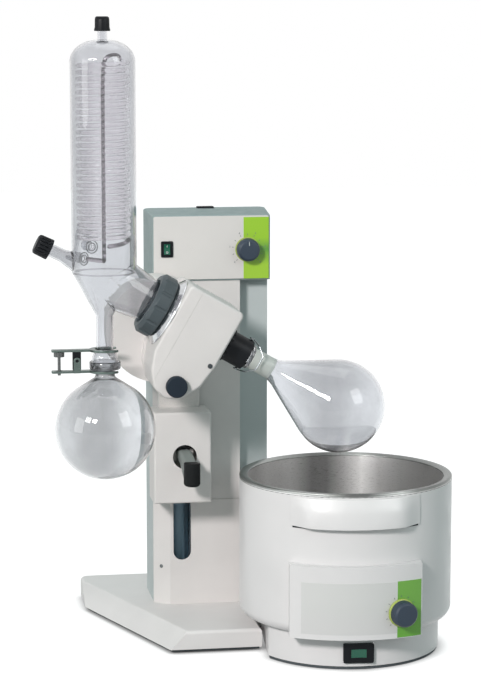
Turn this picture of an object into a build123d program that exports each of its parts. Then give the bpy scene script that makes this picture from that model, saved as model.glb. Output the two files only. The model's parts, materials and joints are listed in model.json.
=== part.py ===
"""Rotary evaporator: a lift stand, a tilting drive head with its glassware, and a round heating bath.

Millimetres. +X runs to the right along the stand's front, +Y to the back and +Z up. The origin is on
the bench, under the middle of the lift slot, in the plane of the stand's front cover.
"""

import os
from math import acos, asin, atan, cos, degrees, pi, radians, sin, sqrt, tan

from build123d import *

os.makedirs("parts", exist_ok=True)

# Shared clearances and helpers
overrun = 2.0
body_gap = 0.3
shaft_gap = 0.05

# Base
base_height = 30.0
foot_height = 2.0
underside_thickness = 3.0
base_front = 144.0
base_back = 185.0
base_left = 126.0
base_front_left = 35.0
base_corner_back = 97.0
base_right = 88.0
base_right_back = 137.0
base_step_front = 60.0
base_step_back = 5.0
base_bevel = 21.5
base_wall = 5.0
base_edge_radius = 5.0
underside_inset = 3.0
pad_radius = 11.0
pad_inset = 22.0

# Stand column
column_left = 38.0
column_right = 120.0
column_back = 107.0
column_splay = 11.0
column_wall = 2.5
face_left = 17.0
face_right = 81.0
cover_depth = 20.0
cover_thickness = 2.5
cover_step = 1.5
cover_split = 177.0
console_bottom = 482.0
column_corner_radius = 12.0
band_return = 14.0

# Lift slot and the guides behind it
slot_width = 24.4
slot_bottom = 93.0
slot_top = 470.0
channel_width = 64.0
channel_front = 18.0
channel_back = 62.0
channel_wall = 3.0
channel_bottom = base_height
rod_radius = 6.0
rod_spacing = 38.0
rod_depth = 36.0
rod_end_margin = 8.0
clamp_height = 16.0
clamp_depth = 24.0
block_width = 57.0
block_depth = 26.0
block_bottom = 236.0
block_height = 134.0
bush_radius = 8.0
bush_length = 22.0
spring_radius = 8.0
spring_wall = 2.0
spring_top = 276.0
spring_rod_radius = 3.5
spring_rod_length = 170.0
spring_plate = 10.0

# Console on top of the column
console_top = 572.0
console_overhang = 2.0
console_wall = 3.0
window_margin = 10.0
panel_thickness = 2.0
panel_height = 86.0
panel_raise = 2.0
top_plug_width = 24.0
top_plug_depth = 12.0
top_plug_height = 2.5
board_width = 96.0
board_height = 52.0
board_thickness = 1.6
board_depth = 16.0
board_post = 3.0
transformer_width = 40.0
transformer_depth = 32.0

# Controls on the console
speed_knob_x = 90.6
speed_knob_z = 524.0
speed_knob_radius = 15.8
speed_knob_length = 15.0
knob_standoff = 1.2
knob_shaft_radius = 3.0
switch_x = 19.9
switch_z = 525.8
switch_width = 16.4
switch_height = 22.0
switch_lip = 1.6
switch_body_depth = 14.0
rocker_width = 8.4
rocker_height = 14.0
rocker_crown = 2.2
rocker_pin_radius = 0.8
rocker_pin_reach = 1.0

# Back cover and mains inlet
back_cover_thickness = 1.5
back_cover_margin = 8.0
back_window_margin = 16.0
louvre_count = 9
louvre_width = 70.0
louvre_height = 3.0
louvre_pitch = 9.0
louvre_bottom = 340.0
inlet_x = 46.0
inlet_z = 78.0
inlet_width = 48.0
inlet_height = 28.0
inlet_flange = 2.0
inlet_depth = 22.0
inlet_socket_width = 24.0
inlet_socket_height = 16.0
inlet_socket_depth = 16.0
inlet_pin_spacing = 7.0

# Carriage
carriage_left = 46.0
carriage_right = 32.0
carriage_bottom = 186.0
carriage_top = 311.0
carriage_front = 62.0
carriage_wall = 2.5
carriage_back = 8.0
carriage_edge_radius = 3.0
bracket_thickness = 10.0
bracket_left = 34.0
bracket_right = 22.0
bracket_bottom = 200.0
pivot_x = 40.0
pivot_z = 426.0
pivot_flange_radius = 68.0
spigot_radius = 12.0
spigot_lip = 3.0
tongue_width = 9.0
tongue_bottom = 244.0
tongue_top = 362.0

# Lift lever
lever_x = 4.0
lever_z = 250.0
lever_depth = 36.0
lever_hole_radius = 16.2
lever_width = 17.0
lever_hub_radius = 7.0
lever_pin_radius = 3.0
lever_ear_width = 5.0
lever_ear_height = 16.0
lever_side_gap = 0.5
lever_neck_height = 19.0
lever_reach = 92.0
lever_drop = 31.0
lever_round = 4.0
grip_radius = 10.9
grip_height = 32.0
grip_y = 99.0
grip_top = 249.0
grip_round = 2.5

# Drive line, 30 degrees down to the right
drive_angle = 30.0
drive_y = 129.0
drive_z = 437.7

# Head casting, measured along (s) and across (t) the drive line
head_front = 176.0
head_back = 90.0
head_cover_thickness = 11.0
bezel_face = 42.0
bezel_seam = 20.0
head_end = 42.5
head_top = 47.5
head_end_taper = 31.0
head_low_s = 38.0
head_low_t = 63.0
lobe_right_s = 24.0
lobe_right_t = 88.0
lobe_low_s = 6.0
lobe_low_t = 98.0
lobe_left_s = 14.0
lobe_left_t = 94.0
lobe_up_s = 31.0
lobe_up_t = 75.0
bezel_low_t = 50.0
head_corner_radius = 7.0
lobe_radius = 14.0
head_edge_radius = 4.0
head_wall = 4.0
bearing_wall_front = 16.0
bearing_wall_back = 2.0
end_wall = 28.0

# Rear housing, motor and worm
drum_radius = 70.0
drum_wall = 3.0
drum_back = 18.3
drum_edge_radius = 5.0
motor_radius = 30.0
motor_length = 34.0
motor_cap_radius = 13.0
motor_cap_length = 5.0
worm_radius = 7.0
worm_core_radius = 5.0
worm_length = 56.0
worm_turns = 15
worm_shaft_radius = 4.0
worm_front_clearance = 8.0

# Tilt lock
tilt_knob_x = 30.5
tilt_knob_z = 366.5
tilt_knob_radius = 14.0
tilt_knob_length = 9.0
tilt_rod_radius = 3.5
tilt_slot_angle = 30.0
tilt_nut_radius = 6.5
tilt_nut_thickness = 4.0

# Drive shaft, wheel and bearings
shaft_radius = 16.0
shaft_bore = 12.3
shaft_front = 36.0
shaft_end = 54.0
wheel_s = 28.8
wheel_radius = 22.4
wheel_root = 20.6
wheel_width = 10.0
wheel_teeth = 36
wheel_hub_radius = 19.0
wheel_hub_width = 14.0
bearing_radius = 26.0
bearing_width = 12.0
bearing_race = 3.0

# Front flange, seal and union nut
flange_radius = 46.0
flange_rim_radius = 43.5
flange_thickness = 5.0
flange_bore = 24.0
flange_spigot = 29.8
flange_spigot_length = 5.0
flange_hub_radius = 35.5
flange_hub_end = 60.0
nut_radius = 42.0
nut_front = 70.0
nut_lip_radius = 31.5
nut_lip = 4.0
nut_groove_radius = 3.2
nut_groove_count = 12
nut_chamfer = 5.0
seal_length = 9.0
seal_lip_radius = 12.4

# Vapour tube, clip nut and evaporating flask
tube_radius = 12.0
tube_wall = 1.6
tube_front = 58.0
tube_end = 118.0
neck_radius = 14.0
flask_wall = 1.8
neck_start = 64.5
neck_lip_radius = 16.5
neck_lip_start = 82.0
neck_lip_width = 4.0
flask_radius = 62.0
flask_s = 222.8
flask_cone_angle = 30.0
clip_front = 47.0
clip_end = 80.0
clip_radius = 20.5
clip_collar_radius = 22.5
clip_collar = 5.0
clip_notch_count = 16
clip_notch_radius = 1.6
clip_step = 60.0
bail_s = 76.0
bail_wire_radius = 0.9
bail_reach = 96.0
bail_bulge = 21.0
bail_side = 19.5
bail_bend = 5.0
bail_pin_length = 2.5

# Condenser, upright over the receiving flask
glass_x = 118.0
glass_wall = 2.2
jacket_radius = 42.25
jacket_bottom = 512.0
jacket_top = 783.0
dome_height = 28.0
top_neck_radius = 6.5
top_neck_end = 834.0
cone_bottom = 455.0
outlet_radius = 11.3
ball_radius = 17.5
ball_z = 396.0
duct_radius = 28.0
duct_flare_radius = 34.0
duct_flare_s = 108.0
duct_end = 61.0
duct_flange_radius = 35.0
duct_flange_width = 4.5
port_z = 507.5
port_rise = 26.0
port_radius = 8.5
port_flare_radius = 15.0
port_length = 92.0
port_flare_length = 46.0
nozzle_radius = 5.5
nozzle_length = 24.0
nozzle_bore = 3.2
nozzle_rib = 1.4
nozzle_upper_z = 541.0
nozzle_lower_z = 526.0
nozzle_upper_angle = 110.0
nozzle_lower_angle = 130.0
cap_radius = 10.2
cap_height = 18.0
cap_overlap = 12.0
cap_flute_count = 14
cap_flute_radius = 0.9
side_cap_radius = 13.8
side_cap_length = 20.0

# Condenser coil
coil_radius = 31.0
coil_tube_radius = 3.4
coil_pitch = 20.8
coil_bottom = 556.0
coil_height = 213.2
coil_sides = 6
coil_arch = 8.0

# Ball-joint clamp
jaw_thickness = 3.0
jaw_gap = 0.6
jaw_outer_radius = 21.0
arm_length = 70.0
arm_width = 11.0
arm_end_round = 3.0
clamp_pivot_reach = 37.0
clamp_block_length = 11.0
clamp_block_width = 9.0
clamp_block_round = 2.0
clamp_block_gap = 1.5
clamp_ear_thickness = 2.0
clamp_ear_length = 9.0
clamp_pin_radius = 2.0
clamp_slot = 4.0
thumb_reach = 60.0
thumb_radius = 7.0
thumb_height = 6.0
thumb_flute_count = 12
thumb_flute_radius = 0.8
thumb_stem_radius = 2.0

# Receiving flask
receiver_z = 303.7
receiver_radius = 66.0
receiver_wall = 2.0
receiver_neck_radius = 12.6
cup_radius = 20.6
cup_bottom = 383.3
cup_top = 394.5

# Bath
bath_x = 203.5
bath_y = 128.0
bath_turn = 5.0
bath_radius = 142.0
bath_bottom = 46.0
bath_top = 231.0
bath_wall = 2.0
bath_bottom_radius = 14.0
pot_rim_top = 236.0
pot_radius = 131.0
pot_rim_width = 6.0
pot_wall = 1.5
pot_bottom = 100.0
pot_bottom_radius = 18.0
heater_radius = 100.0
heater_tube_radius = 4.0
bath_foot_radius = 126.0
bath_foot_flat = 108.0
bath_foot_wall = 3.0
gasket_height = 4.0
gasket_inset = 1.5
gasket_width = 8.0

# Bath controls
bulge_half_width = 86.0
bulge_radius = 179.0
bulge_front = 153.0
bulge_bottom = 46.0
bulge_top = 142.0
bulge_wall = 3.0
bath_knob_x = 57.0
bath_knob_z = 80.0
bath_knob_radius = 17.0
bath_knob_length = 17.0
bath_switch_x = 4.4
bath_switch_width = 40.0
bath_switch_height = 26.0
bath_switch_bottom = 9.0
bath_switch_depth = 16.0
bath_switch_lip = 2.5
bath_switch_flange = 4.0
bath_rocker_width = 20.0
bath_rocker_height = 11.0
bath_rocker_crown = 2.4

# Bath handles
handle_half_angle = 36.0
handle_bottom = 191.0
handle_top = 229.0
handle_reach = 11.0
handle_lip = 4.0
handle_top_reach = 3.0
handle_face = 17.0
handle_root = 15.0
handle_pocket = 16.0


def drive_point(s, t, y):
    """The point at s along and t across the drive line, in the plane at depth y."""
    a = radians(drive_angle)
    return Vector(s * cos(a) + t * sin(a), y, drive_z - s * sin(a) + t * cos(a))


def save(piece, name):
    """Labels a finished piece and writes it under the same name."""
    piece.part.label = name
    export_step(piece.part, f"parts/{name}.step")


drive_direction = Vector(cos(radians(drive_angle)), 0, -sin(radians(drive_angle)))
drive_plane = Plane(origin=(0, -drive_y, drive_z), x_dir=drive_direction, z_dir=(0, -1, 0))
drive_axis = Axis((0, -drive_y, drive_z), drive_direction)
glass_plane = Plane(origin=(-glass_x, -drive_y, 0), x_dir=(1, 0, 0), z_dir=(0, -1, 0))
glass_axis = Axis((-glass_x, -drive_y, 0), (0, 0, 1))


def across_drive(s):
    """A plane square to the drive line at s, facing down the line, its Y up across the line."""
    return Plane(origin=drive_point(s, 0, -drive_y), x_dir=(0, 1, 0), z_dir=drive_direction)


# Base casting: a bevel runs down its left side, and the underside is hollow
base_outline = [
    (-base_front_left, -base_front),
    (base_right, -base_front),
    (base_right, -base_step_front),
    (base_right_back, -base_step_back),
    (base_right_back, base_back),
    (-base_left, base_back),
    (-base_left, base_corner_back),
]
base_floor = foot_height + underside_thickness
left_run = Vector(-base_left + base_front_left, base_corner_back + base_front, 0).normalized()
bevel_inward = Vector(left_run.Y, -left_run.X, 0)
bevel_low = Vector(-base_front_left, -base_front, base_floor)
bevel_slope = bevel_inward * base_bevel + Vector(0, 0, base_height - base_floor)
bevel_plane = Plane(origin=bevel_low, x_dir=left_run, z_dir=left_run.cross(bevel_slope))
with BuildPart() as base_plate:
    with BuildSketch(Plane.XY.offset(base_floor)):
        Polygon(*base_outline, align=None)
    extrude(amount=base_height - base_floor)
    fillet(base_plate.edges().filter_by(Axis.Z).sort_by(Axis.Y)[-2:], radius=column_corner_radius)
    split(bisect_by=bevel_plane, keep=Keep.BOTTOM if bevel_plane.z_dir.Z > 0 else Keep.TOP)
    fillet(base_plate.faces().sort_by(Axis.Z)[-1].edges(), radius=base_edge_radius)
    with BuildSketch(Plane.XY.offset(base_floor)):
        Polygon(*base_outline, align=None)
        offset(amount=-base_bevel - base_wall, kind=Kind.INTERSECTION)
    extrude(amount=base_height - base_floor - base_wall, mode=Mode.SUBTRACT)
save(base_plate, "base_plate")

with BuildPart() as base_underside:
    with BuildSketch(Plane.XY.offset(foot_height)):
        Polygon(*base_outline, align=None)
        offset(amount=-underside_inset, kind=Kind.INTERSECTION)
    extrude(amount=underside_thickness)
save(base_underside, "base_underside")

pad_spots = [
    (-base_front_left + pad_inset, -base_front + pad_inset),
    (base_right - pad_inset, -base_front + pad_inset),
    (base_right_back - pad_inset, base_back - pad_inset),
    (-base_left + pad_inset, base_back - pad_inset),
    (0, 0),
]
with BuildPart() as base_feet:
    with BuildSketch(Plane.XY):
        with Locations(*pad_spots):
            Circle(pad_radius)
    extrude(amount=foot_height)
save(base_feet, "base_feet")


# Column: a folded sheet shell, open at the front, with a recessed band on the right
def column_x(side, y):
    """The column's outer left or right side at depth y; only the right side splays."""
    if side == "left":
        return -column_left
    return column_right + column_splay * y / column_back


def column_outline(inset, front):
    """The column's plan, drawn that far inside its outer faces, from the depth front backwards."""
    return [
        (column_x("left", front) + inset, front),
        (column_x("right", front) - inset, front),
        (column_x("right", column_back) - inset, column_back - inset),
        (column_x("left", column_back) + inset, column_back - inset),
    ]


def rounded_plan(points, radius):
    """A flat plan through the points with its two rear corners rounded."""
    with BuildSketch() as plan:
        Polygon(*points, align=None)
        fillet(plan.vertices().sort_by(Axis.Y)[-2:], radius=radius)
    return plan.sketch


inlet_body_width = inlet_socket_width + inlet_flange * 3
inlet_body_height = inlet_socket_height + inlet_flange * 3
rear_plane = Plane(origin=(0, column_back, 0), x_dir=(-1, 0, 0), z_dir=(0, 1, 0))
back_left = -column_left + back_cover_margin
back_right = column_right + column_splay - back_cover_margin
back_middle = (back_left + back_right) / 2
back_width = back_right - back_left
back_bottom = base_height + back_cover_margin
back_height = console_bottom - base_height - 2 * back_cover_margin
with BuildPart() as column_shell:
    with BuildSketch(Plane.XY.offset(base_height)):
        add(rounded_plan(column_outline(0, cover_depth), column_corner_radius))
        hollow_outline = column_outline(column_wall, cover_depth + column_wall)
        add(rounded_plan(hollow_outline, column_corner_radius - column_wall), mode=Mode.SUBTRACT)
    extrude(amount=console_bottom - base_height)
    with BuildSketch(Plane.XY.offset(base_height)):
        with Locations((-column_left + column_wall, cover_depth - overrun)):
            opening_width = face_right + column_left - column_wall - band_return
            Rectangle(opening_width, column_wall + 2 * overrun, align=(Align.MIN, Align.MIN))
    extrude(amount=console_bottom - base_height, mode=Mode.SUBTRACT)
    with BuildSketch(rear_plane.offset(overrun)):
        with Locations((-back_middle, back_bottom + back_height / 2)):
            Rectangle(back_width - back_window_margin, back_height - back_window_margin)
    extrude(amount=-column_wall - 2 * overrun, mode=Mode.SUBTRACT)
save(column_shell, "column_shell")


def cover_outline(step):
    """The front cover's bent plan: a bevel, the main face and a return, set forward by step."""
    turn = tan(atan(cover_depth / (column_left - face_left)) / 2)
    sheet = cover_thickness
    slope_gap = sheet * turn
    edge_depth = cover_depth - body_gap
    return [
        (-column_left, edge_depth - cover_step - step),
        (-face_left, -step),
        (face_right, -step),
        (face_right, edge_depth),
        (face_right - sheet, edge_depth),
        (face_right - sheet, sheet - step),
        (-face_left + slope_gap, sheet - step),
        (-column_left + sheet, edge_depth - cover_step - step),
        (-column_left + sheet, edge_depth),
        (-column_left, edge_depth),
    ]


with BuildPart() as front_cover_upper:
    with BuildSketch(Plane.XY.offset(cover_split)):
        Polygon(*cover_outline(0), align=None)
    extrude(amount=console_bottom - cover_split)
    with BuildSketch(Plane.XZ.offset(overrun)):
        with Locations((0, cover_split)):
            Rectangle(slot_width, slot_top - slot_width / 2 - cover_split, align=(Align.CENTER, Align.MIN))
        with Locations((0, slot_top - slot_width / 2)):
            Circle(slot_width / 2)
    extrude(amount=-cover_depth, mode=Mode.SUBTRACT)
save(front_cover_upper, "front_cover_upper")

with BuildPart() as front_cover_lower:
    with BuildSketch(Plane.XY.offset(base_height)):
        Polygon(*cover_outline(cover_step), align=None)
    extrude(amount=cover_split - base_height)
    with BuildSketch(Plane.XZ.offset(cover_step + overrun)):
        with Locations((0, slot_bottom + slot_width / 2)):
            Rectangle(slot_width, cover_split - slot_bottom, align=(Align.CENTER, Align.MIN))
            Circle(slot_width / 2)
    extrude(amount=-cover_depth, mode=Mode.SUBTRACT)
save(front_cover_lower, "front_cover_lower")

with BuildPart() as rear_cover:
    with BuildSketch(rear_plane):
        with Locations((-back_middle, back_bottom + back_height / 2)):
            RectangleRounded(back_width, back_height, back_cover_margin / 2)
    extrude(amount=back_cover_thickness)
    with BuildSketch(rear_plane.offset(back_cover_thickness)):
        with Locations((-back_middle, louvre_bottom)):
            with GridLocations(0, louvre_pitch, 1, louvre_count):
                SlotOverall(louvre_width, louvre_height)
        with Locations((-inlet_x, inlet_z)):
            Rectangle(inlet_body_width + 2 * body_gap, inlet_body_height + 2 * body_gap)
    extrude(amount=-back_cover_thickness, mode=Mode.SUBTRACT)
save(rear_cover, "rear_cover")


def inlet_piece(plane):
    """A mains inlet on a plane: its flange, the body behind it and the socket with three pins."""
    with BuildPart() as inlet:
        with BuildSketch(plane):
            RectangleRounded(inlet_width, inlet_height, inlet_flange)
        extrude(amount=inlet_flange)
        with BuildSketch(plane):
            Rectangle(inlet_body_width, inlet_body_height)
        extrude(amount=-inlet_depth)
        with BuildSketch(plane.offset(inlet_flange)):
            RectangleRounded(inlet_socket_width, inlet_socket_height, inlet_flange)
        extrude(amount=-inlet_socket_depth, mode=Mode.SUBTRACT)
        with BuildSketch(plane.offset(inlet_flange - inlet_socket_depth)):
            with GridLocations(inlet_pin_spacing, 0, 3, 1):
                Rectangle(inlet_flange / 2, inlet_flange * 2)
        extrude(amount=inlet_socket_depth - inlet_flange)
    return inlet


inlet_plane = Plane(
    origin=(inlet_x, column_back + back_cover_thickness, inlet_z), x_dir=(-1, 0, 0), z_dir=(0, 1, 0)
)
mains_inlet = inlet_piece(inlet_plane)
save(mains_inlet, "mains_inlet")

# Guide channel: a folded channel behind the slot, with the two rod clamps across its ends
rod_z0 = channel_bottom + rod_end_margin
rod_z1 = console_bottom - rod_end_margin
with BuildPart() as guide_channel:
    with BuildSketch(Plane.XY.offset(channel_bottom)):
        with Locations((0, (channel_front + channel_back) / 2)):
            Rectangle(channel_width, channel_back - channel_front)
        with Locations((0, (channel_front + channel_back - channel_wall - overrun) / 2)):
            Rectangle(
                channel_width - 2 * channel_wall,
                channel_back - channel_front - channel_wall + overrun,
                mode=Mode.SUBTRACT,
            )
    extrude(amount=console_bottom - channel_bottom)
    with BuildSketch(Plane.XY.offset(channel_bottom)) as clamp_profile:
        with Locations((0, channel_back)):
            Rectangle(channel_width, channel_back - rod_depth + clamp_depth / 2, align=(Align.CENTER, Align.MAX))
        with Locations((0, rod_depth)):
            with GridLocations(rod_spacing, 0, 2, 1):
                Circle(rod_radius + shaft_gap, mode=Mode.SUBTRACT)
    extrude(amount=clamp_height)
    extrude(clamp_profile.sketch.moved(Location((0, 0, console_bottom - channel_bottom - clamp_height))),
            amount=clamp_height)
save(guide_channel, "guide_channel")

with BuildPart() as guide_rods:
    with BuildSketch(Plane.XY.offset(rod_z0)):
        with Locations((0, rod_depth)):
            with GridLocations(rod_spacing, 0, 2, 1):
                Circle(rod_radius)
    extrude(amount=rod_z1 - rod_z0)
save(guide_rods, "guide_rods")

spring_bottom = channel_bottom + clamp_height
with BuildPart() as gas_spring_cylinder:
    with BuildSketch(Plane.XY.offset(spring_bottom)):
        with Locations((0, rod_depth)):
            Circle(spring_radius)
    extrude(amount=spring_top - spring_bottom)
    with BuildSketch(Plane.XY.offset(spring_bottom + spring_wall)):
        with Locations((0, rod_depth)):
            Circle(spring_radius - spring_wall)
    extrude(amount=spring_top - spring_bottom - 2 * spring_wall, mode=Mode.SUBTRACT)
    with BuildSketch(Plane.XY.offset(spring_top)):
        with Locations((0, rod_depth)):
            Circle(spring_rod_radius + body_gap)
    extrude(amount=-spring_wall - overrun, mode=Mode.SUBTRACT)
save(gas_spring_cylinder, "gas_spring_cylinder")

block_top = block_bottom + block_height
spring_seat = block_top - spring_plate
with BuildPart() as gas_spring_rod:
    with BuildSketch(Plane.XY.offset(spring_seat)):
        with Locations((0, rod_depth)):
            Circle(spring_rod_radius)
    extrude(amount=-spring_rod_length)
    with BuildSketch(Plane.XY.offset(spring_seat - spring_rod_length)):
        with Locations((0, rod_depth)):
            Circle(spring_radius - spring_wall - body_gap)
    extrude(amount=spring_wall * 3)
save(gas_spring_rod, "gas_spring_rod")

# Slide block: runs on the rods on four turned-in bushes, over the gas spring
with BuildPart() as slide_block:
    with BuildSketch(Plane.XY.offset(block_bottom)):
        with Locations((0, rod_depth)):
            RectangleRounded(block_width, block_depth, column_wall)
            with GridLocations(rod_spacing, 0, 2, 1):
                Circle(rod_radius + 2 * body_gap, mode=Mode.SUBTRACT)
    extrude(amount=block_height)
    for bush_z in (block_bottom, block_top - bush_length):
        with BuildSketch(Plane.XY.offset(bush_z)):
            with Locations((0, rod_depth)):
                with GridLocations(rod_spacing, 0, 2, 1):
                    Circle(bush_radius)
                    Circle(rod_radius + shaft_gap, mode=Mode.SUBTRACT)
        extrude(amount=bush_length)
    with BuildSketch(Plane.XY.offset(block_bottom)):
        with Locations((0, rod_depth)):
            Circle(spring_radius + 2 * body_gap)
    extrude(amount=block_height - spring_plate, mode=Mode.SUBTRACT)
save(slide_block, "slide_block")


# Console: a moulded cap over the column, with the sheet panel on its front
def console_outline(inset):
    """The console's plan, drawn that far inside its outer faces."""
    edge = console_overhang - inset
    return [
        (-column_left - edge, -edge),
        (column_right + edge, -edge),
        (column_right + column_splay + edge, column_back + edge),
        (-column_left - edge, column_back + edge),
    ]


console_front = Plane.XZ.offset(console_overhang)
panel_left = -column_left
panel_right = column_right
panel_middle = (panel_left + panel_right) / 2
panel_bottom = console_bottom + panel_raise
panel_front = console_overhang + panel_thickness
with BuildPart() as console_housing:
    with BuildSketch(Plane.XY.offset(console_bottom)):
        add(rounded_plan(console_outline(0), column_corner_radius))
    extrude(amount=console_top - console_bottom)
    fillet(console_housing.faces().sort_by(Axis.Z)[-1].edges(), radius=column_wall)
    with BuildSketch(Plane.XY.offset(console_bottom)):
        add(rounded_plan(console_outline(console_wall), column_corner_radius - console_wall))
    extrude(amount=console_top - console_bottom - console_wall, mode=Mode.SUBTRACT)
    with BuildSketch(console_front.offset(overrun)):
        with Locations((panel_middle, panel_bottom + panel_height / 2)):
            RectangleRounded(
                panel_right - panel_left - 2 * window_margin, panel_height - 2 * window_margin, console_wall
            )
    extrude(amount=-console_wall - 2 * overrun, mode=Mode.SUBTRACT)
save(console_housing, "console_housing")

with BuildPart() as control_panel:
    with BuildSketch(console_front):
        with Locations((panel_middle, panel_bottom + panel_height / 2)):
            RectangleRounded(panel_right - panel_left, panel_height, column_wall)
        with Locations((-switch_x, switch_z)):
            Rectangle(
                switch_width - 2 * switch_lip + body_gap, switch_height - 2 * switch_lip + body_gap,
                mode=Mode.SUBTRACT,
            )
        with Locations((speed_knob_x, speed_knob_z)):
            Circle(knob_shaft_radius + body_gap, mode=Mode.SUBTRACT)
    extrude(amount=panel_thickness)
save(control_panel, "control_panel")

with BuildPart() as top_plug:
    with BuildSketch(Plane.XY.offset(console_top)):
        with Locations(((column_right + column_splay - column_left) / 2, column_back - column_corner_radius)):
            RectangleRounded(top_plug_width, top_plug_depth, top_plug_height)
    extrude(amount=top_plug_height)
    fillet(top_plug.faces().sort_by(Axis.Z)[-1].edges(), radius=top_plug_height / 3)
save(top_plug, "top_plug")


def pivot_start(plane, reach):
    """The plane square to a rocker's pivot line, at the given reach to one side of its middle."""
    return Plane(origin=plane.origin, x_dir=plane.z_dir, z_dir=plane.x_dir).offset(-reach)


def switch_frame(plane, width, height, lip, depth, hole_width, hole_height):
    """A rocker switch's black frame on a plane: a proud lip, a body behind it and the rocker's well."""
    with BuildPart() as frame:
        with BuildSketch(plane):
            RectangleRounded(width, height, lip)
        extrude(amount=lip)
        with BuildSketch(plane):
            Rectangle(width - 2 * lip, height - 2 * lip)
        extrude(amount=-depth)
        with BuildSketch(plane.offset(lip)):
            Rectangle(hole_width + 2 * body_gap, hole_height + 2 * body_gap)
        extrude(amount=-depth, mode=Mode.SUBTRACT)
        with BuildSketch(pivot_start(plane, hole_width / 2 + rocker_pin_reach + body_gap)):
            Circle(rocker_pin_radius + shaft_gap)
        extrude(amount=hole_width + 2 * (rocker_pin_reach + body_gap), mode=Mode.SUBTRACT)
    return frame


def rocker_piece(plane, width, height, crown, depth):
    """A rocker on pivot pins along the plane's X, its crown proud of the plane by crown."""
    with BuildPart() as rocker:
        with BuildSketch(pivot_start(plane, width / 2)):
            with BuildLine():
                low = -height / 2
                top = height / 2
                ThreePointArc((crown, low), (crown / 2, 0), (crown, top))
                Polyline((crown, top), (0, top), (-depth, top / 2), (-depth, low / 2), (0, low), (crown, low))
            make_face()
        extrude(amount=width)
        with BuildSketch(pivot_start(plane, width / 2 + rocker_pin_reach)):
            Circle(rocker_pin_radius)
        extrude(amount=width + 2 * rocker_pin_reach)
    return rocker


switch_plane = Plane(origin=(-switch_x, -panel_front, switch_z), x_dir=(1, 0, 0), z_dir=(0, -1, 0))
switch_frame_part = switch_frame(
    switch_plane, switch_width, switch_height, switch_lip, switch_body_depth, rocker_width, rocker_height
)
save(switch_frame_part, "switch_frame")

with BuildPart() as control_board:
    board_plane = Plane.XZ.offset(-board_depth)
    with BuildSketch(board_plane):
        with Locations((panel_middle, panel_bottom + panel_height / 2)):
            Rectangle(board_width, board_height)
            with Locations((-switch_x - panel_middle, 0)):
                Rectangle(switch_width + rocker_width, board_height / 2, mode=Mode.SUBTRACT)
    extrude(amount=board_thickness)
    with BuildSketch(board_plane):
        with Locations((panel_middle, panel_bottom + panel_height / 2)):
            with GridLocations(board_width - window_margin / 2, board_height - window_margin / 2, 2, 2):
                Circle(board_post)
    extrude(amount=board_depth + console_overhang)
    with BuildSketch(board_plane):
        with Locations((panel_middle, panel_bottom + panel_height / 2)):
            Rectangle(transformer_width, transformer_width)
    extrude(amount=-transformer_depth)
save(control_board, "control_board")


def turned_knob(plane, radius, length, standoff, shaft_radius, shaft_depth):
    """A moulded knob on a plane: a slightly tapered grip with a domed rim and a shaft behind it."""
    with BuildPart() as knob:
        with BuildSketch(plane.offset(standoff)):
            Circle(radius)
        extrude(amount=length, taper=degrees(atan(shaft_radius / length / 3)))
        fillet(knob.faces().sort_by(Axis(plane.origin, plane.z_dir))[-1].edges(), radius=shaft_radius / 2)
        with BuildSketch(plane.offset(standoff)):
            Circle(shaft_radius)
        extrude(amount=-shaft_depth - standoff)
    return knob


speed_plane = Plane(origin=(speed_knob_x, -panel_front, speed_knob_z), x_dir=(1, 0, 0), z_dir=(0, -1, 0))
speed_knob = turned_knob(
    speed_plane, speed_knob_radius, speed_knob_length, knob_standoff, knob_shaft_radius,
    panel_thickness + console_wall,
)
save(speed_knob, "speed_knob")

power_rocker = rocker_piece(switch_plane, rocker_width, rocker_height, rocker_crown, switch_body_depth / 2)
save(power_rocker, "power_rocker")

# Carriage bracket: one casting with the pivot flange, the tongue through the slot and the lever's ears
pivot_plane = Plane(origin=(-pivot_x, 0, pivot_z), x_dir=(1, 0, 0), z_dir=(0, -1, 0))
front_plane = Plane(origin=(0, 0, 0), x_dir=(1, 0, 0), z_dir=(0, -1, 0))
bracket_front = carriage_back + bracket_thickness
lock_dx = pivot_x - tilt_knob_x
lock_dz = tilt_knob_z - pivot_z
lock_arm = sqrt(lock_dx * lock_dx + lock_dz * lock_dz)
lock_angle = degrees(acos(lock_dx / lock_arm))
lock_slot_half = tilt_rod_radius + 2 * body_gap
lock_end_share = degrees(lock_slot_half / lock_arm) * 2 / tilt_slot_angle
ear_x = lever_width / 2 + lever_side_gap


def lock_point(side, end):
    """A point of the arc slot's outline: side runs from -1 inside to 1 outside, end from -1 to 1 along it."""
    angle = radians(end * tilt_slot_angle / 2 - lock_angle)
    reach = lock_arm + side * lock_slot_half
    return (reach * cos(angle), reach * sin(angle))


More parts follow.
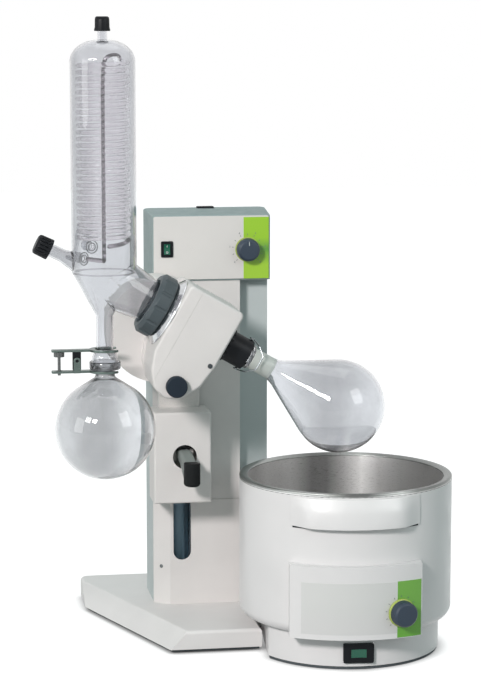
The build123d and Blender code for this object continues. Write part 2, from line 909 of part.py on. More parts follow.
with BuildPart() as carriage_bracket:
    with BuildSketch(front_plane.offset(carriage_back)):
        with Locations((-bracket_left, bracket_bottom)):
            Rectangle(bracket_left + bracket_right, pivot_z - bracket_bottom, align=(Align.MIN, Align.MIN))
        with Locations((-pivot_x, pivot_z)):
            Circle(pivot_flange_radius)
    extrude(amount=bracket_thickness)
    with BuildSketch(pivot_plane.offset(carriage_back)):
        with BuildLine():
            ThreePointArc(lock_point(1, -1), lock_point(1, 0), lock_point(1, 1))
            ThreePointArc(lock_point(1, 1), lock_point(0, 1 + lock_end_share), lock_point(-1, 1))
            ThreePointArc(lock_point(-1, 1), lock_point(-1, 0), lock_point(-1, -1))
            ThreePointArc(lock_point(-1, -1), lock_point(0, -1 - lock_end_share), lock_point(1, -1))
        make_face()
    extrude(amount=bracket_thickness, mode=Mode.SUBTRACT)
    with BuildSketch(pivot_plane.offset(bracket_front)):
        Circle(spigot_radius)
    extrude(amount=drum_wall + body_gap * 3 + spigot_lip)
    with BuildSketch(pivot_plane.offset(bracket_front + drum_wall + body_gap * 3)):
        Circle(spigot_radius + spigot_lip)
    extrude(amount=spigot_lip)
    with BuildSketch(front_plane.offset(carriage_back)):
        with Locations((0, tongue_bottom)):
            Rectangle(tongue_width, tongue_top - tongue_bottom, align=(Align.CENTER, Align.MIN))
    extrude(amount=-(carriage_back + rod_depth - block_depth / 2))
    with BuildSketch(front_plane.offset(bracket_front)):
        for ear_side in (-1, 1):
            with Locations((-lever_x + ear_side * (ear_x + lever_ear_width / 2), lever_z)):
                Rectangle(lever_ear_width, lever_ear_height)
    extrude(amount=lever_depth + lever_hub_radius - bracket_front)
    with BuildSketch(Plane.YZ.offset(-lever_x - ear_x - lever_ear_width - overrun)):
        with Locations((-lever_depth, lever_z)):
            Circle(lever_pin_radius + shaft_gap)
    extrude(amount=2 * (ear_x + lever_ear_width + overrun), mode=Mode.SUBTRACT)
save(carriage_bracket, "carriage_bracket")

# Carriage cover: a folded box with the lever's round opening, notched at the top for the bracket
with BuildPart() as carriage_cover:
    with BuildSketch(front_plane.offset(carriage_back)):
        with Locations((-carriage_left, carriage_bottom)):
            Rectangle(carriage_left + carriage_right, carriage_top - carriage_bottom, align=(Align.MIN, Align.MIN))
    extrude(amount=carriage_front - carriage_back)
    fillet(
        carriage_cover.faces().sort_by(Axis.Y)[0].edges()
        + carriage_cover.edges().filter_by(Axis.Y).sort_by(Axis.Z)[-2:],
        radius=carriage_edge_radius,
    )
    with BuildSketch(front_plane.offset(carriage_back)):
        with Locations((-carriage_left + carriage_wall, carriage_bottom + carriage_wall)):
            Rectangle(
                carriage_left + carriage_right - 2 * carriage_wall,
                carriage_top - carriage_bottom - 2 * carriage_wall,
                align=(Align.MIN, Align.MIN),
            )
    extrude(amount=carriage_front - carriage_back - carriage_wall, mode=Mode.SUBTRACT)
    with BuildSketch(front_plane.offset(carriage_front + overrun)):
        with Locations((-lever_x, lever_z)):
            Circle(lever_hole_radius)
    extrude(amount=-carriage_wall - 2 * overrun, mode=Mode.SUBTRACT)
    with BuildSketch(front_plane.offset(carriage_back - overrun)):
        with Locations((-bracket_left - body_gap, carriage_top - carriage_wall - overrun)):
            Rectangle(
                bracket_left + bracket_right + 2 * body_gap, carriage_wall + 2 * overrun,
                align=(Align.MIN, Align.MIN),
            )
    extrude(amount=bracket_thickness + body_gap + overrun, mode=Mode.SUBTRACT)
save(carriage_cover, "carriage_cover")

# Lift lever: a hub on trunnions inside the cover, a neck through the round opening and the grip
lever_profile = [
    (-lever_depth, lever_z + lever_hub_radius),
    (-carriage_front - lever_round, lever_z + lever_neck_height / 2),
    (-lever_reach, grip_top),
    (-lever_reach, grip_top - lever_drop),
    (-carriage_front - lever_round, lever_z - lever_neck_height / 2),
    (-lever_depth, lever_z - lever_hub_radius),
]
with BuildPart() as lever_arm:
    with BuildSketch(Plane.YZ.offset(-lever_x - lever_width / 2)):
        Polygon(*lever_profile, align=None)
        with Locations((-lever_depth, lever_z)):
            Circle(lever_hub_radius)
    extrude(amount=lever_width)
    sides = lever_arm.faces().filter_by(Axis.X).edges()
    fillet(sides.filter_by(GeomType.LINE), radius=lever_round)
    with BuildSketch(Plane.YZ.offset(-lever_x - lever_width / 2 - lever_side_gap - lever_ear_width)):
        with Locations((-lever_depth, lever_z)):
            Circle(lever_pin_radius)
    extrude(amount=lever_width + 2 * (lever_side_gap + lever_ear_width))
    with BuildSketch(Plane.XY.offset(grip_top - grip_height)):
        with Locations((-lever_x, -grip_y)):
            Circle(grip_radius)
    extrude(amount=grip_height, mode=Mode.SUBTRACT)
save(lever_arm, "lever_arm")

with BuildPart() as lever_grip:
    with BuildSketch(Plane.XY.offset(grip_top - grip_height)):
        with Locations((-lever_x, -grip_y)):
            Circle(grip_radius)
    extrude(amount=grip_height)
    fillet(lever_grip.edges().group_by(Axis.Z)[0], radius=grip_round * 2)
    fillet(lever_grip.edges().group_by(Axis.Z)[-1], radius=grip_round / 2)
save(lever_grip, "lever_grip")

# Head casting: the housing and its front bezel share one outline and part along the seam
head_outline = [
    (-bezel_face, head_top),
    (head_end, head_top),
    (head_end, -head_end_taper),
    (head_low_s, -head_low_t),
    (lobe_right_s, -lobe_right_t),
    (lobe_low_s, -lobe_low_t),
    (-lobe_left_s, -lobe_left_t),
    (-lobe_up_s, -lobe_up_t),
    (-bezel_face, -bezel_low_t),
]


def head_solid():
    """The whole head casting with its cavities, bearing seats and bores, before it is parted."""
    front = head_front - drive_y
    depth = head_front - head_back
    with BuildPart() as head:
        with BuildSketch(drive_plane.offset(front)):
            Polygon(*head_outline, align=None)
        extrude(amount=-depth)
        along_y = head.edges().filter_by(Axis.Y)
        by_height = along_y.sort_by(Axis(drive_plane.origin, drive_plane.y_dir))
        fillet(by_height[:4], radius=lobe_radius)
        along_y = head.edges().filter_by(Axis.Y)
        by_height = along_y.sort_by(Axis(drive_plane.origin, drive_plane.y_dir))
        fillet(by_height[-2:], radius=head_corner_radius)
        fillet(head.faces().sort_by(Axis.Y)[0].edges(), radius=head_edge_radius)
        with BuildSketch(drive_plane.offset(front - head_wall)):
            with Locations((-bezel_face + head_wall, -bezel_low_t + head_wall / 2)):
                Rectangle(
                    bezel_face - head_wall - bearing_wall_front, bezel_low_t + head_top - head_wall * 3 / 2,
                    align=(Align.MIN, Align.MIN),
                )
            with Locations((-bearing_wall_back, -bezel_low_t)):
                Rectangle(
                    end_wall + bearing_wall_back, bezel_low_t + head_top - head_wall,
                    align=(Align.MIN, Align.MIN),
                )
        extrude(amount=-depth, mode=Mode.SUBTRACT)
        for seat_s, seat_length in ((-bearing_wall_front, bearing_width), (end_wall, bearing_width)):
            with BuildSketch(across_drive(seat_s)):
                Circle(bearing_radius)
            extrude(amount=seat_length, mode=Mode.SUBTRACT)
        with BuildSketch(across_drive(-bearing_wall_front)):
            Circle(shaft_radius + 2 * body_gap)
        extrude(amount=bearing_wall_front + head_end + overrun, mode=Mode.SUBTRACT)
        with BuildSketch(across_drive(-bezel_face - overrun)):
            Circle(flange_spigot + shaft_gap)
        extrude(amount=head_wall + 2 * overrun, mode=Mode.SUBTRACT)
        with BuildSketch(front_plane.offset(head_front + overrun)):
            with Locations((-tilt_knob_x, tilt_knob_z)):
                Circle(tilt_rod_radius + body_gap)
        extrude(amount=-depth - 2 * overrun, mode=Mode.SUBTRACT)
    return head


whole_head = head_solid()
seam_plane = across_drive(-bezel_seam)
with BuildPart() as head_housing:
    add(whole_head.part)
    split(bisect_by=seam_plane, keep=Keep.TOP)
save(head_housing, "head_housing")

with BuildPart() as front_bezel:
    add(whole_head.part)
    split(bisect_by=seam_plane, keep=Keep.BOTTOM)
save(front_bezel, "front_bezel")

# Rear housing: the head's back plate and the motor drum, in one casting
motor_front = head_back - head_cover_thickness - drum_wall
with BuildPart() as rear_housing:
    with BuildSketch(drive_plane.offset(head_back - drive_y)):
        Polygon(*head_outline, align=None)
    extrude(amount=-head_cover_thickness)
    along_y = rear_housing.edges().filter_by(Axis.Y)
    by_height = along_y.sort_by(Axis(drive_plane.origin, drive_plane.y_dir))
    fillet(by_height[:4], radius=lobe_radius)
    along_y = rear_housing.edges().filter_by(Axis.Y)
    by_height = along_y.sort_by(Axis(drive_plane.origin, drive_plane.y_dir))
    fillet(by_height[-2:], radius=head_corner_radius)
    with BuildSketch(pivot_plane.offset(head_back - head_cover_thickness)):
        Circle(drum_radius)
    extrude(amount=-(head_back - head_cover_thickness - drum_back))
    fillet(rear_housing.faces().sort_by(Axis.Y)[-1].edges(), radius=drum_edge_radius)
    with BuildSketch(pivot_plane.offset(motor_front)):
        Circle(drum_radius - drum_wall)
    extrude(amount=drum_back + drum_wall - motor_front, mode=Mode.SUBTRACT)
    with BuildSketch(pivot_plane.offset(drum_back - overrun)):
        Circle(spigot_radius + shaft_gap)
    extrude(amount=drum_wall + 2 * overrun, mode=Mode.SUBTRACT)
    with BuildSketch(pivot_plane.offset(head_back + overrun)):
        Circle(worm_radius + 2 * body_gap)
    extrude(amount=motor_front - head_back - 2 * overrun, mode=Mode.SUBTRACT)
    with BuildSketch(front_plane.offset(head_back + overrun)):
        with Locations((-tilt_knob_x, tilt_knob_z)):
            Circle(tilt_rod_radius + body_gap)
    extrude(amount=-head_back, mode=Mode.SUBTRACT)
save(rear_housing, "rear_housing")

with BuildPart() as drive_motor:
    with BuildSketch(pivot_plane.offset(motor_front)):
        Circle(motor_radius)
    extrude(amount=-motor_length)
    fillet(drive_motor.faces().sort_by(Axis.Y)[-1].edges(), radius=motor_cap_length / 2)
    with BuildSketch(pivot_plane.offset(motor_front - motor_length)):
        Circle(motor_cap_radius)
    extrude(amount=-motor_cap_length)
    with BuildSketch(pivot_plane.offset(motor_front + overrun)):
        Circle(worm_shaft_radius + body_gap)
    extrude(amount=-motor_length - overrun, mode=Mode.SUBTRACT)
save(drive_motor, "drive_motor")

# Worm: thread crests turned on the motor's shaft, centred on the wheel
worm_front = drive_y + worm_length / 2 - worm_front_clearance
worm_profile_plane = Plane(origin=(-pivot_x, 0, pivot_z), x_dir=(0, -1, 0), z_dir=(-1, 0, 0))
worm_points = [(motor_front - motor_length, 0), (motor_front - motor_length, worm_shaft_radius)]
thread_start = head_back + head_wall
thread_pitch = (worm_front - thread_start) / worm_turns
worm_points.append((thread_start, worm_shaft_radius))
for turn in range(worm_turns):
    crest = thread_start + thread_pitch * turn
    worm_points.append((crest, worm_core_radius))
    worm_points.append((crest + thread_pitch / 3, worm_radius))
    worm_points.append((crest + thread_pitch * 2 / 3, worm_radius))
worm_points.append((worm_front, worm_core_radius))
worm_points.append((worm_front, 0))
with BuildPart() as motor_worm:
    with BuildSketch(worm_profile_plane):
        with BuildLine():
            Polyline(*worm_points, close=True)
        make_face()
    revolve(axis=Axis((-pivot_x, 0, pivot_z), (0, 1, 0)))
save(motor_worm, "motor_worm")

# Tilt lock: a round knob, its rod through head and flange, and the nut behind the flange
with BuildPart() as tilt_knob:
    knob_plane = front_plane.offset(head_front)
    with BuildSketch(knob_plane.offset(knob_standoff)):
        with Locations((-tilt_knob_x, tilt_knob_z)):
            Circle(tilt_knob_radius)
    extrude(amount=tilt_knob_length)
    fillet(tilt_knob.faces().sort_by(Axis.Y)[0].edges(), radius=tilt_rod_radius / 2)
    with BuildSketch(knob_plane.offset(knob_standoff)):
        with Locations((-tilt_knob_x, tilt_knob_z)):
            Circle(tilt_rod_radius)
    extrude(amount=-(head_front + knob_standoff - carriage_back + body_gap + tilt_nut_thickness))
    with BuildSketch(front_plane.offset(carriage_back - body_gap)):
        with Locations((-tilt_knob_x, tilt_knob_z)):
            RegularPolygon(tilt_nut_radius, 6)
    extrude(amount=-tilt_nut_thickness)
save(tilt_knob, "tilt_knob")


def turned(points, plane, axis):
    """A solid of revolution from a closed half section."""
    with BuildPart() as piece:
        with BuildSketch(plane):
            Polygon(*points, align=None)
        revolve(axis=axis)
    return piece


def ring(s0, s1, inner, outer):
    """Half section of a plain ring on the drive line."""
    return [(s0, inner), (s1, inner), (s1, outer), (s0, outer)]


# Drive shaft, worm wheel and bearings
drive_shaft = turned(ring(-shaft_front, shaft_end, shaft_bore, shaft_radius), drive_plane, drive_axis)
save(drive_shaft, "drive_shaft")

with BuildPart() as worm_wheel:
    with BuildSketch(across_drive(-wheel_s - wheel_width / 2)):
        Circle(wheel_root)
        with PolarLocations((wheel_root + wheel_radius) / 2, wheel_teeth):
            Rectangle((wheel_radius - wheel_root) * 2, wheel_radius / wheel_teeth * 3)
    extrude(amount=wheel_width)
    with BuildSketch(across_drive(-shaft_front)):
        Circle(wheel_hub_radius)
    extrude(amount=wheel_hub_width)
    with BuildSketch(across_drive(-wheel_s - wheel_width)):
        Circle(wheel_radius + wheel_width)
        Circle(wheel_radius, mode=Mode.SUBTRACT)
    extrude(amount=2 * wheel_width, mode=Mode.SUBTRACT)
    with BuildSketch(across_drive(-shaft_front - overrun)):
        Circle(shaft_radius)
    extrude(amount=wheel_hub_width + 2 * overrun, mode=Mode.SUBTRACT)
save(worm_wheel, "worm_wheel")

with BuildPart() as shaft_bearings:
    for seat_s in (-bearing_wall_front, end_wall):
        with BuildSketch(drive_plane):
            Polygon(*ring(seat_s, seat_s + bearing_width, shaft_radius + shaft_gap, bearing_radius), align=None)
        revolve(axis=drive_axis)
        for race_s in (seat_s, seat_s + bearing_width):
            with BuildSketch(drive_plane):
                with Locations((race_s, (shaft_radius + bearing_radius) / 2)):
                    Rectangle(2 * bearing_race / 3, bearing_radius - shaft_radius - 2 * bearing_race)
            revolve(axis=drive_axis, mode=Mode.SUBTRACT)
save(shaft_bearings, "shaft_bearings")

# Chrome flange on the bezel, its threaded hub, the seal inside it and the union nut
flange_points = [
    (-bezel_face + flange_spigot_length - head_wall / 2, flange_bore),
    (-bezel_face + flange_spigot_length - head_wall / 2, flange_spigot),
    (-bezel_face, flange_spigot),
    (-bezel_face, flange_radius),
    (-bezel_face - flange_thickness / 3, flange_radius),
    (-bezel_face - flange_thickness, flange_rim_radius),
    (-bezel_face - flange_thickness, flange_hub_radius),
    (-flange_hub_end, flange_hub_radius),
    (-flange_hub_end, flange_bore),
]
flange_ring = turned(flange_points, drive_plane, drive_axis)
save(flange_ring, "flange_ring")

seal_back = flange_hub_end - seal_length
shaft_seal = turned(ring(-flange_hub_end, -seal_back, seal_lip_radius, flange_bore), drive_plane, drive_axis)
save(shaft_seal, "shaft_seal")

nut_back = bezel_face + flange_thickness + body_gap * 2
with BuildPart() as union_nut:
    with BuildSketch(across_drive(-nut_front)):
        Circle(nut_radius)
        with PolarLocations(nut_radius + nut_groove_radius / 2, nut_groove_count):
            Circle(nut_groove_radius, mode=Mode.SUBTRACT)
        Circle(nut_lip_radius, mode=Mode.SUBTRACT)
    extrude(amount=nut_front - nut_back)
    with BuildSketch(drive_plane):
        Polygon(
            (-nut_front - overrun, nut_radius - nut_chamfer - overrun),
            (-nut_front + nut_chamfer + overrun, nut_radius + overrun),
            (-nut_front - overrun, nut_radius + overrun),
            align=None,
        )
    revolve(axis=drive_axis, mode=Mode.SUBTRACT)
    with BuildSketch(drive_plane):
        Polygon(
            (-nut_back + overrun, nut_radius - nut_chamfer / 2 - overrun),
            (-nut_back - nut_chamfer / 2 - overrun, nut_radius + overrun),
            (-nut_back + overrun, nut_radius + overrun),
            align=None,
        )
    revolve(axis=drive_axis, mode=Mode.SUBTRACT)
    with BuildSketch(across_drive(-nut_front + nut_lip)):
        Circle(duct_flange_radius + body_gap * 2)
    extrude(amount=nut_front - nut_lip - nut_back + overrun, mode=Mode.SUBTRACT)
    with BuildSketch(across_drive(-flange_hub_end - body_gap)):
        Circle(flange_hub_radius + body_gap)
    extrude(amount=flange_hub_end - nut_back + overrun, mode=Mode.SUBTRACT)
save(union_nut, "union_nut")

# Vapour tube, clip nut, bail and evaporating flask, all on the turning shaft
vapor_points = ring(-tube_front, tube_end, tube_radius - tube_wall, tube_radius)
vapor_tube = turned(vapor_points, drive_plane, drive_axis)
save(vapor_tube, "vapor_tube")


def flask_section(inset, start):
    """Half section of the pear flask, drawn that far inside its outer glass: neck, cone and sphere."""
    ball = flask_radius - inset
    neck = neck_radius - inset
    a = radians(flask_cone_angle)
    touch_s = flask_s - ball * sin(a)
    touch_r = ball * cos(a)
    cone_s = touch_s - (touch_r - neck) / tan(a)
    with BuildSketch(drive_plane) as section:
        with BuildLine():
            Polyline((flask_s + ball, 0), (start, 0), (start, neck), (cone_s, neck), (touch_s, touch_r))
            RadiusArc((touch_s, touch_r), (flask_s + ball, 0), ball)
        make_face()
    return section.sketch.face()


with BuildPart() as evaporating_flask:
    revolve(flask_section(0, neck_start), axis=drive_axis)
    with BuildSketch(drive_plane):
        Polygon(*ring(neck_lip_start, neck_lip_start + neck_lip_width, 0, neck_lip_radius), align=None)
    revolve(axis=drive_axis)
    revolve(flask_section(flask_wall, neck_start - overrun), axis=drive_axis, mode=Mode.SUBTRACT)
save(evaporating_flask, "evaporating_flask")

clip_points = [
    (clip_front, shaft_radius + body_gap),
    (clip_front, clip_collar_radius),
    (clip_front + clip_collar, clip_collar_radius),
    (clip_front + clip_collar, clip_radius),
    (clip_end, clip_radius),
    (clip_end, neck_radius + body_gap),
    (clip_step, neck_radius + body_gap),
    (clip_step, shaft_radius + body_gap),
]
with BuildPart() as clip_nut:
    with BuildSketch(drive_plane):
        Polygon(*clip_points, align=None)
    revolve(axis=drive_axis)
    with BuildSketch(across_drive(clip_front)):
        with PolarLocations(clip_collar_radius, clip_notch_count):
            Circle(clip_notch_radius)
    extrude(amount=clip_collar, mode=Mode.SUBTRACT)
    for pin_side in (-1, 1):
        with BuildSketch(Plane(
            origin=drive_point(bail_s, pin_side * (clip_radius - clip_notch_radius / 2), -drive_y),
            x_dir=drive_direction,
            z_dir=drive_plane.y_dir * pin_side,
        )):
            Circle(clip_notch_radius)
        extrude(amount=bail_pin_length)
save(clip_nut, "clip_nut")

bail_t = clip_radius + bail_pin_length / 2 + bail_wire_radius
bail_path_points = [
    drive_point(bail_s + 3 * bail_wire_radius, bail_t, -drive_y),
    drive_point((bail_s + bail_reach) / 2, bail_side, -drive_y - bail_bulge * 2 / 3),
    drive_point(bail_reach, bail_side / 2, -drive_y - bail_bulge),
    drive_point(bail_reach, -bail_side / 2, -drive_y - bail_bulge),
    drive_point((bail_s + bail_reach) / 2, -bail_side, -drive_y - bail_bulge * 2 / 3),
    drive_point(bail_s + 3 * bail_wire_radius, -bail_t, -drive_y),
]
with BuildPart() as flask_bail:
    with BuildLine() as bail_line:
        FilletPolyline(*bail_path_points, radius=bail_bend)
    with BuildSketch(Plane(origin=bail_line.line @ 0, z_dir=bail_line.line % 0)):
        RegularPolygon(bail_wire_radius, coil_sides)
    sweep()
    for pin_side in (-1, 1):
        eye_radius = clip_notch_radius + body_gap / 2
        with BuildSketch(Plane(
            origin=drive_point(bail_s, pin_side * (bail_t - bail_wire_radius), -drive_y),
            x_dir=drive_direction,
            z_dir=drive_plane.y_dir * pin_side,
        )):
            Circle(eye_radius + 2 * bail_wire_radius)
            Circle(eye_radius, mode=Mode.SUBTRACT)
        extrude(amount=2 * bail_wire_radius)
save(flask_bail, "flask_bail")


# Condenser: one blown vessel with the jacket, its dome and cone, the duct to the head and the ports
def jacket_section(inset):
    """Half section of the condenser's upright body, drawn that far inside its outer glass."""
    body = jacket_radius - inset
    top_neck = top_neck_radius - inset
    outlet = outlet_radius - inset
    ball = ball_radius - inset
    drop = sqrt(ball * ball - outlet * outlet)
    shift = inset * 2
    with BuildSketch(glass_plane) as section:
        with BuildLine():
            Line((0, jacket_top), (0, top_neck_end + shift))
            Line((0, top_neck_end + shift), (top_neck, top_neck_end + shift))
            Line((top_neck, top_neck_end + shift), (top_neck, jacket_top + dome_height - inset))
            EllipticalCenterArc(
                (top_neck, jacket_top), body - top_neck, dome_height - inset, start_angle=0, arc_size=90
            )
            Polyline((body, jacket_top), (body, jacket_bottom), (outlet, cone_bottom), (outlet, ball_z + drop))
            ThreePointArc((outlet, ball_z + drop), (ball, ball_z), (outlet, ball_z - drop))
            Polyline((outlet, ball_z - drop), (0, ball_z - drop), (0, jacket_top))
        make_face()
    return section.sketch.face()


def duct_points(inset):
    """Half section of the wide duct from the jacket down the drive line to its flange."""
    return [
        (-glass_x / cos(radians(drive_angle)), 0),
        (-duct_end + inset * 2, 0),
        (-duct_end + inset * 2, duct_radius - inset),
        (-duct_flare_s + jacket_radius, duct_radius - inset),
        (-duct_flare_s, duct_flare_radius - inset),
        (-glass_x / cos(radians(drive_angle)), duct_flare_radius - inset),
    ]


port_direction = Vector(-cos(radians(port_rise)), 0, sin(radians(port_rise)))
port_plane = Plane(origin=(-glass_x, -drive_y, port_z), x_dir=port_direction, z_dir=(0, -1, 0))
port_axis = Axis((-glass_x, -drive_y, port_z), port_direction)
port_face = Plane(origin=(-glass_x, -drive_y, port_z), x_dir=(0, 1, 0), z_dir=port_direction)


def port_points(inset):
    """Half section of the side port's flared tube."""
    end = port_length + inset * 2
    return [
        (0, 0),
        (end, 0),
        (end, port_radius - inset),
        (port_flare_length + port_flare_radius, port_radius - inset),
        (port_flare_length - port_flare_radius, port_flare_radius - inset),
        (0, port_flare_radius - inset),
    ]


nozzle_places = ((nozzle_upper_z, nozzle_upper_angle), (nozzle_lower_z, nozzle_lower_angle))


def nozzle_plane(z, angle):
    """A plane on the jacket's axis whose normal points out along a hose nozzle."""
    out = Vector(cos(radians(angle)), sin(radians(angle)), 0)
    return Plane(origin=(-glass_x, -drive_y, z), x_dir=(-sin(radians(angle)), cos(radians(angle)), 0), z_dir=out)


with BuildPart() as condenser_body:
    revolve(jacket_section(0), axis=glass_axis)
    with BuildSketch(drive_plane):
        Polygon(*duct_points(0), align=None)
    revolve(axis=drive_axis)
    with BuildSketch(drive_plane):
        Polygon(*ring(-duct_end - duct_flange_width, -duct_end, 0, duct_flange_radius), align=None)
    revolve(axis=drive_axis)
    with BuildSketch(port_plane):
        Polygon(*port_points(0), align=None)
    revolve(axis=port_axis)
    for place_z, place_angle in nozzle_places:
        with BuildSketch(nozzle_plane(place_z, place_angle)):
            Circle(nozzle_radius)
        extrude(amount=jacket_radius + nozzle_length)
        for rib in range(3):
            rib_start = jacket_radius + nozzle_length * (rib + 1) / 4
            with BuildSketch(nozzle_plane(place_z, place_angle).offset(rib_start)):
                Circle(nozzle_radius + nozzle_rib)
            extrude(amount=nozzle_length / 8, taper=degrees(atan(nozzle_rib / nozzle_length * 8)) / 2)
    revolve(jacket_section(glass_wall), axis=glass_axis, mode=Mode.SUBTRACT)
    with BuildSketch(drive_plane):
        Polygon(*duct_points(glass_wall), align=None)
    revolve(axis=drive_axis, mode=Mode.SUBTRACT)
    with BuildSketch(port_plane):
        Polygon(*port_points(glass_wall), align=None)
    revolve(axis=port_axis, mode=Mode.SUBTRACT)
    with BuildSketch(glass_plane):
        Polygon(
            (0, ball_z), (outlet_radius - glass_wall, ball_z), (outlet_radius - glass_wall, ball_z - ball_radius),
            (0, ball_z - ball_radius), align=None,
        )
    revolve(axis=glass_axis, mode=Mode.SUBTRACT)
    for place_z, place_angle in nozzle_places:
        with BuildSketch(nozzle_plane(place_z, place_angle)):
            Circle(nozzle_bore)
        extrude(amount=jacket_radius + nozzle_length + overrun, mode=Mode.SUBTRACT)
save(condenser_body, "condenser_body")

# Cooling coil: it starts at the upper hose nozzle, arches over at the top and returns down its middle
coil_start = radians(nozzle_upper_angle)
coil_end = coil_start + 2 * pi * coil_height / coil_pitch
coil_plane = Plane(
    origin=(-glass_x, -drive_y, coil_bottom), x_dir=(cos(coil_start), sin(coil_start), 0), z_dir=(0, 0, 1)
)
coil_reach = jacket_radius - glass_wall - coil_tube_radius
coil_step = (coil_tube_radius + shaft_gap) / coil_radius


def coil_point(radius, angle, z):
    """A point in the jacket at that radius and angle about its axis, at height z."""
    return Vector(radius * cos(angle) - glass_x, radius * sin(angle) - drive_y, z)


coil_top = coil_bottom + coil_height
return_angle = radians(nozzle_lower_angle)
with BuildPart() as condenser_coil:
    with BuildLine(coil_plane) as coil_line:
        Helix(pitch=coil_pitch, height=coil_height, radius=coil_radius)
    with BuildSketch(Plane(origin=coil_line.line @ 0, z_dir=coil_line.line % 0)):
        RegularPolygon(coil_tube_radius, coil_sides)
    sweep(is_frenet=True)
    arch_points = [
        coil_point(coil_radius, coil_end + coil_step, coil_top - coil_tube_radius),
        coil_point(coil_radius * 2 / 3, coil_end + coil_step, coil_top + coil_arch),
        coil_point(coil_radius / 3, coil_end + coil_step, coil_top + coil_arch),
        coil_point(0, 0, coil_top),
        coil_point(0, 0, nozzle_lower_z),
        coil_point(coil_reach, return_angle, nozzle_lower_z),
    ]
    inlet_points = [
        coil_point(coil_radius, coil_start - coil_step, coil_bottom + coil_tube_radius),
        coil_point(coil_radius, coil_start - coil_step, nozzle_upper_z),
        coil_point(coil_reach, coil_start - coil_step, nozzle_upper_z),
    ]
    for run_points in (arch_points, inlet_points):
        for start, end in zip(run_points, run_points[1:]):
            with BuildSketch(Plane(origin=start, z_dir=end - start)):
                RegularPolygon(coil_tube_radius, coil_sides)
            extrude(amount=(end - start).length + coil_tube_radius / 2)
save(condenser_coil, "condenser_coil")


def screw_cap(plane, radius, height, bore, seat, overlap):
    """A fluted screw cap on a plane: the skirt reaches back over the glass neck by the overlap."""
    with BuildPart() as cap:
        with BuildSketch(plane.offset(-overlap)):
            Circle(radius)
            with PolarLocations(radius + cap_flute_radius / 3, cap_flute_count):
                Circle(cap_flute_radius, mode=Mode.SUBTRACT)
        extrude(amount=height)
        with BuildSketch(plane.offset(height - overlap - cap_flute_radius)):
            Circle(radius - cap_flute_radius)
        extrude(amount=2 * cap_flute_radius)
        with BuildSketch(plane.offset(-overlap - overrun)):
            Circle(bore)
        extrude(amount=overlap + overrun + seat, mode=Mode.SUBTRACT)
    return cap


top_cap_plane = Plane(origin=(-glass_x, -drive_y, top_neck_end), x_dir=(1, 0, 0), z_dir=(0, 0, 1))
top_cap = screw_cap(top_cap_plane, cap_radius, cap_height, top_neck_radius + body_gap, body_gap, cap_overlap)
save(top_cap, "top_cap")

side_cap = screw_cap(
    port_face.offset(port_length), side_cap_radius, side_cap_length, port_radius + body_gap, body_gap, cap_overlap
)
save(side_cap, "side_cap")

# Receiving flask under the ball joint
receiver_plane = glass_plane


def receiver_section(inset):
    """Half section of the round receiving flask, drawn that far inside its glass."""
    ball = receiver_radius - inset
    neck = receiver_neck_radius - inset
    join = receiver_z + sqrt(ball * ball - neck * neck)
    with BuildSketch(receiver_plane) as section:
        with BuildLine():
            ThreePointArc((0, receiver_z - ball), (ball, receiver_z), (neck, join))
            Polyline((neck, join), (neck, cup_bottom + inset), (0, cup_bottom + inset), (0, receiver_z - ball))
        make_face()
    return section.sketch.face()


with BuildPart() as receiving_flask:
    revolve(receiver_section(0), axis=glass_axis)
    with BuildSketch(Plane.XY.offset(cup_bottom)):
        with Locations((-glass_x, -drive_y)):
            Circle(cup_radius)
    extrude(amount=cup_top - cup_bottom)
    revolve(receiver_section(receiver_wall), axis=glass_axis, mode=Mode.SUBTRACT)
    with Locations((-glass_x, -drive_y, ball_z)):
        Sphere(ball_radius + body_gap, mode=Mode.SUBTRACT)
save(receiving_flask, "receiving_flask")

# Ball-joint clamp: two forked jaws on long arms, a hinge block between them and a thumb screw
jaw_inner_radius = receiver_neck_radius + jaw_gap
lower_arm_z = cup_bottom - body_gap - jaw_thickness
upper_arm_z = ball_z + sqrt(ball_radius * ball_radius - jaw_inner_radius * jaw_inner_radius) + body_gap
jaw_plane = Plane(origin=(-glass_x, -drive_y, 0), x_dir=(1, 0, 0), z_dir=(0, 0, 1))


def clamp_jaw(z):
    """A jaw plate at height z: a fork round the glass, open to the right, and its arm to the left."""
    with BuildSketch(jaw_plane.offset(z)) as plate:
        Circle(jaw_outer_radius)
        with Locations((-arm_length / 2, 0)):
            RectangleRounded(arm_length, arm_width, arm_end_round)
        Circle(jaw_inner_radius, mode=Mode.SUBTRACT)
        Rectangle(jaw_outer_radius, 2 * jaw_inner_radius, align=(Align.MIN, Align.CENTER), mode=Mode.SUBTRACT)
    return plate.sketch


block_low = lower_arm_z + jaw_thickness + clamp_block_gap
with BuildPart() as clamp_jaw_upper:
    extrude(clamp_jaw(upper_arm_z), amount=jaw_thickness)
save(clamp_jaw_upper, "clamp_jaw_upper")

hinge_z = (block_low + upper_arm_z) / 2
hinge_side_plane = Plane(origin=(-glass_x - clamp_pivot_reach, -drive_y, hinge_z), x_dir=(1, 0, 0), z_dir=(0, -1, 0))
with BuildPart() as clamp_block:
    with BuildSketch(jaw_plane.offset(block_low)):
        with Locations((-clamp_pivot_reach, 0)):
            RectangleRounded(clamp_block_length, clamp_block_width, clamp_block_round)
    extrude(amount=upper_arm_z - block_low)
    with BuildSketch(hinge_side_plane.offset(-clamp_block_width / 2 - clamp_ear_thickness - body_gap)):
        Circle(clamp_pin_radius)
    extrude(amount=clamp_block_width + 2 * (clamp_ear_thickness + body_gap))
save(clamp_block, "clamp_block")

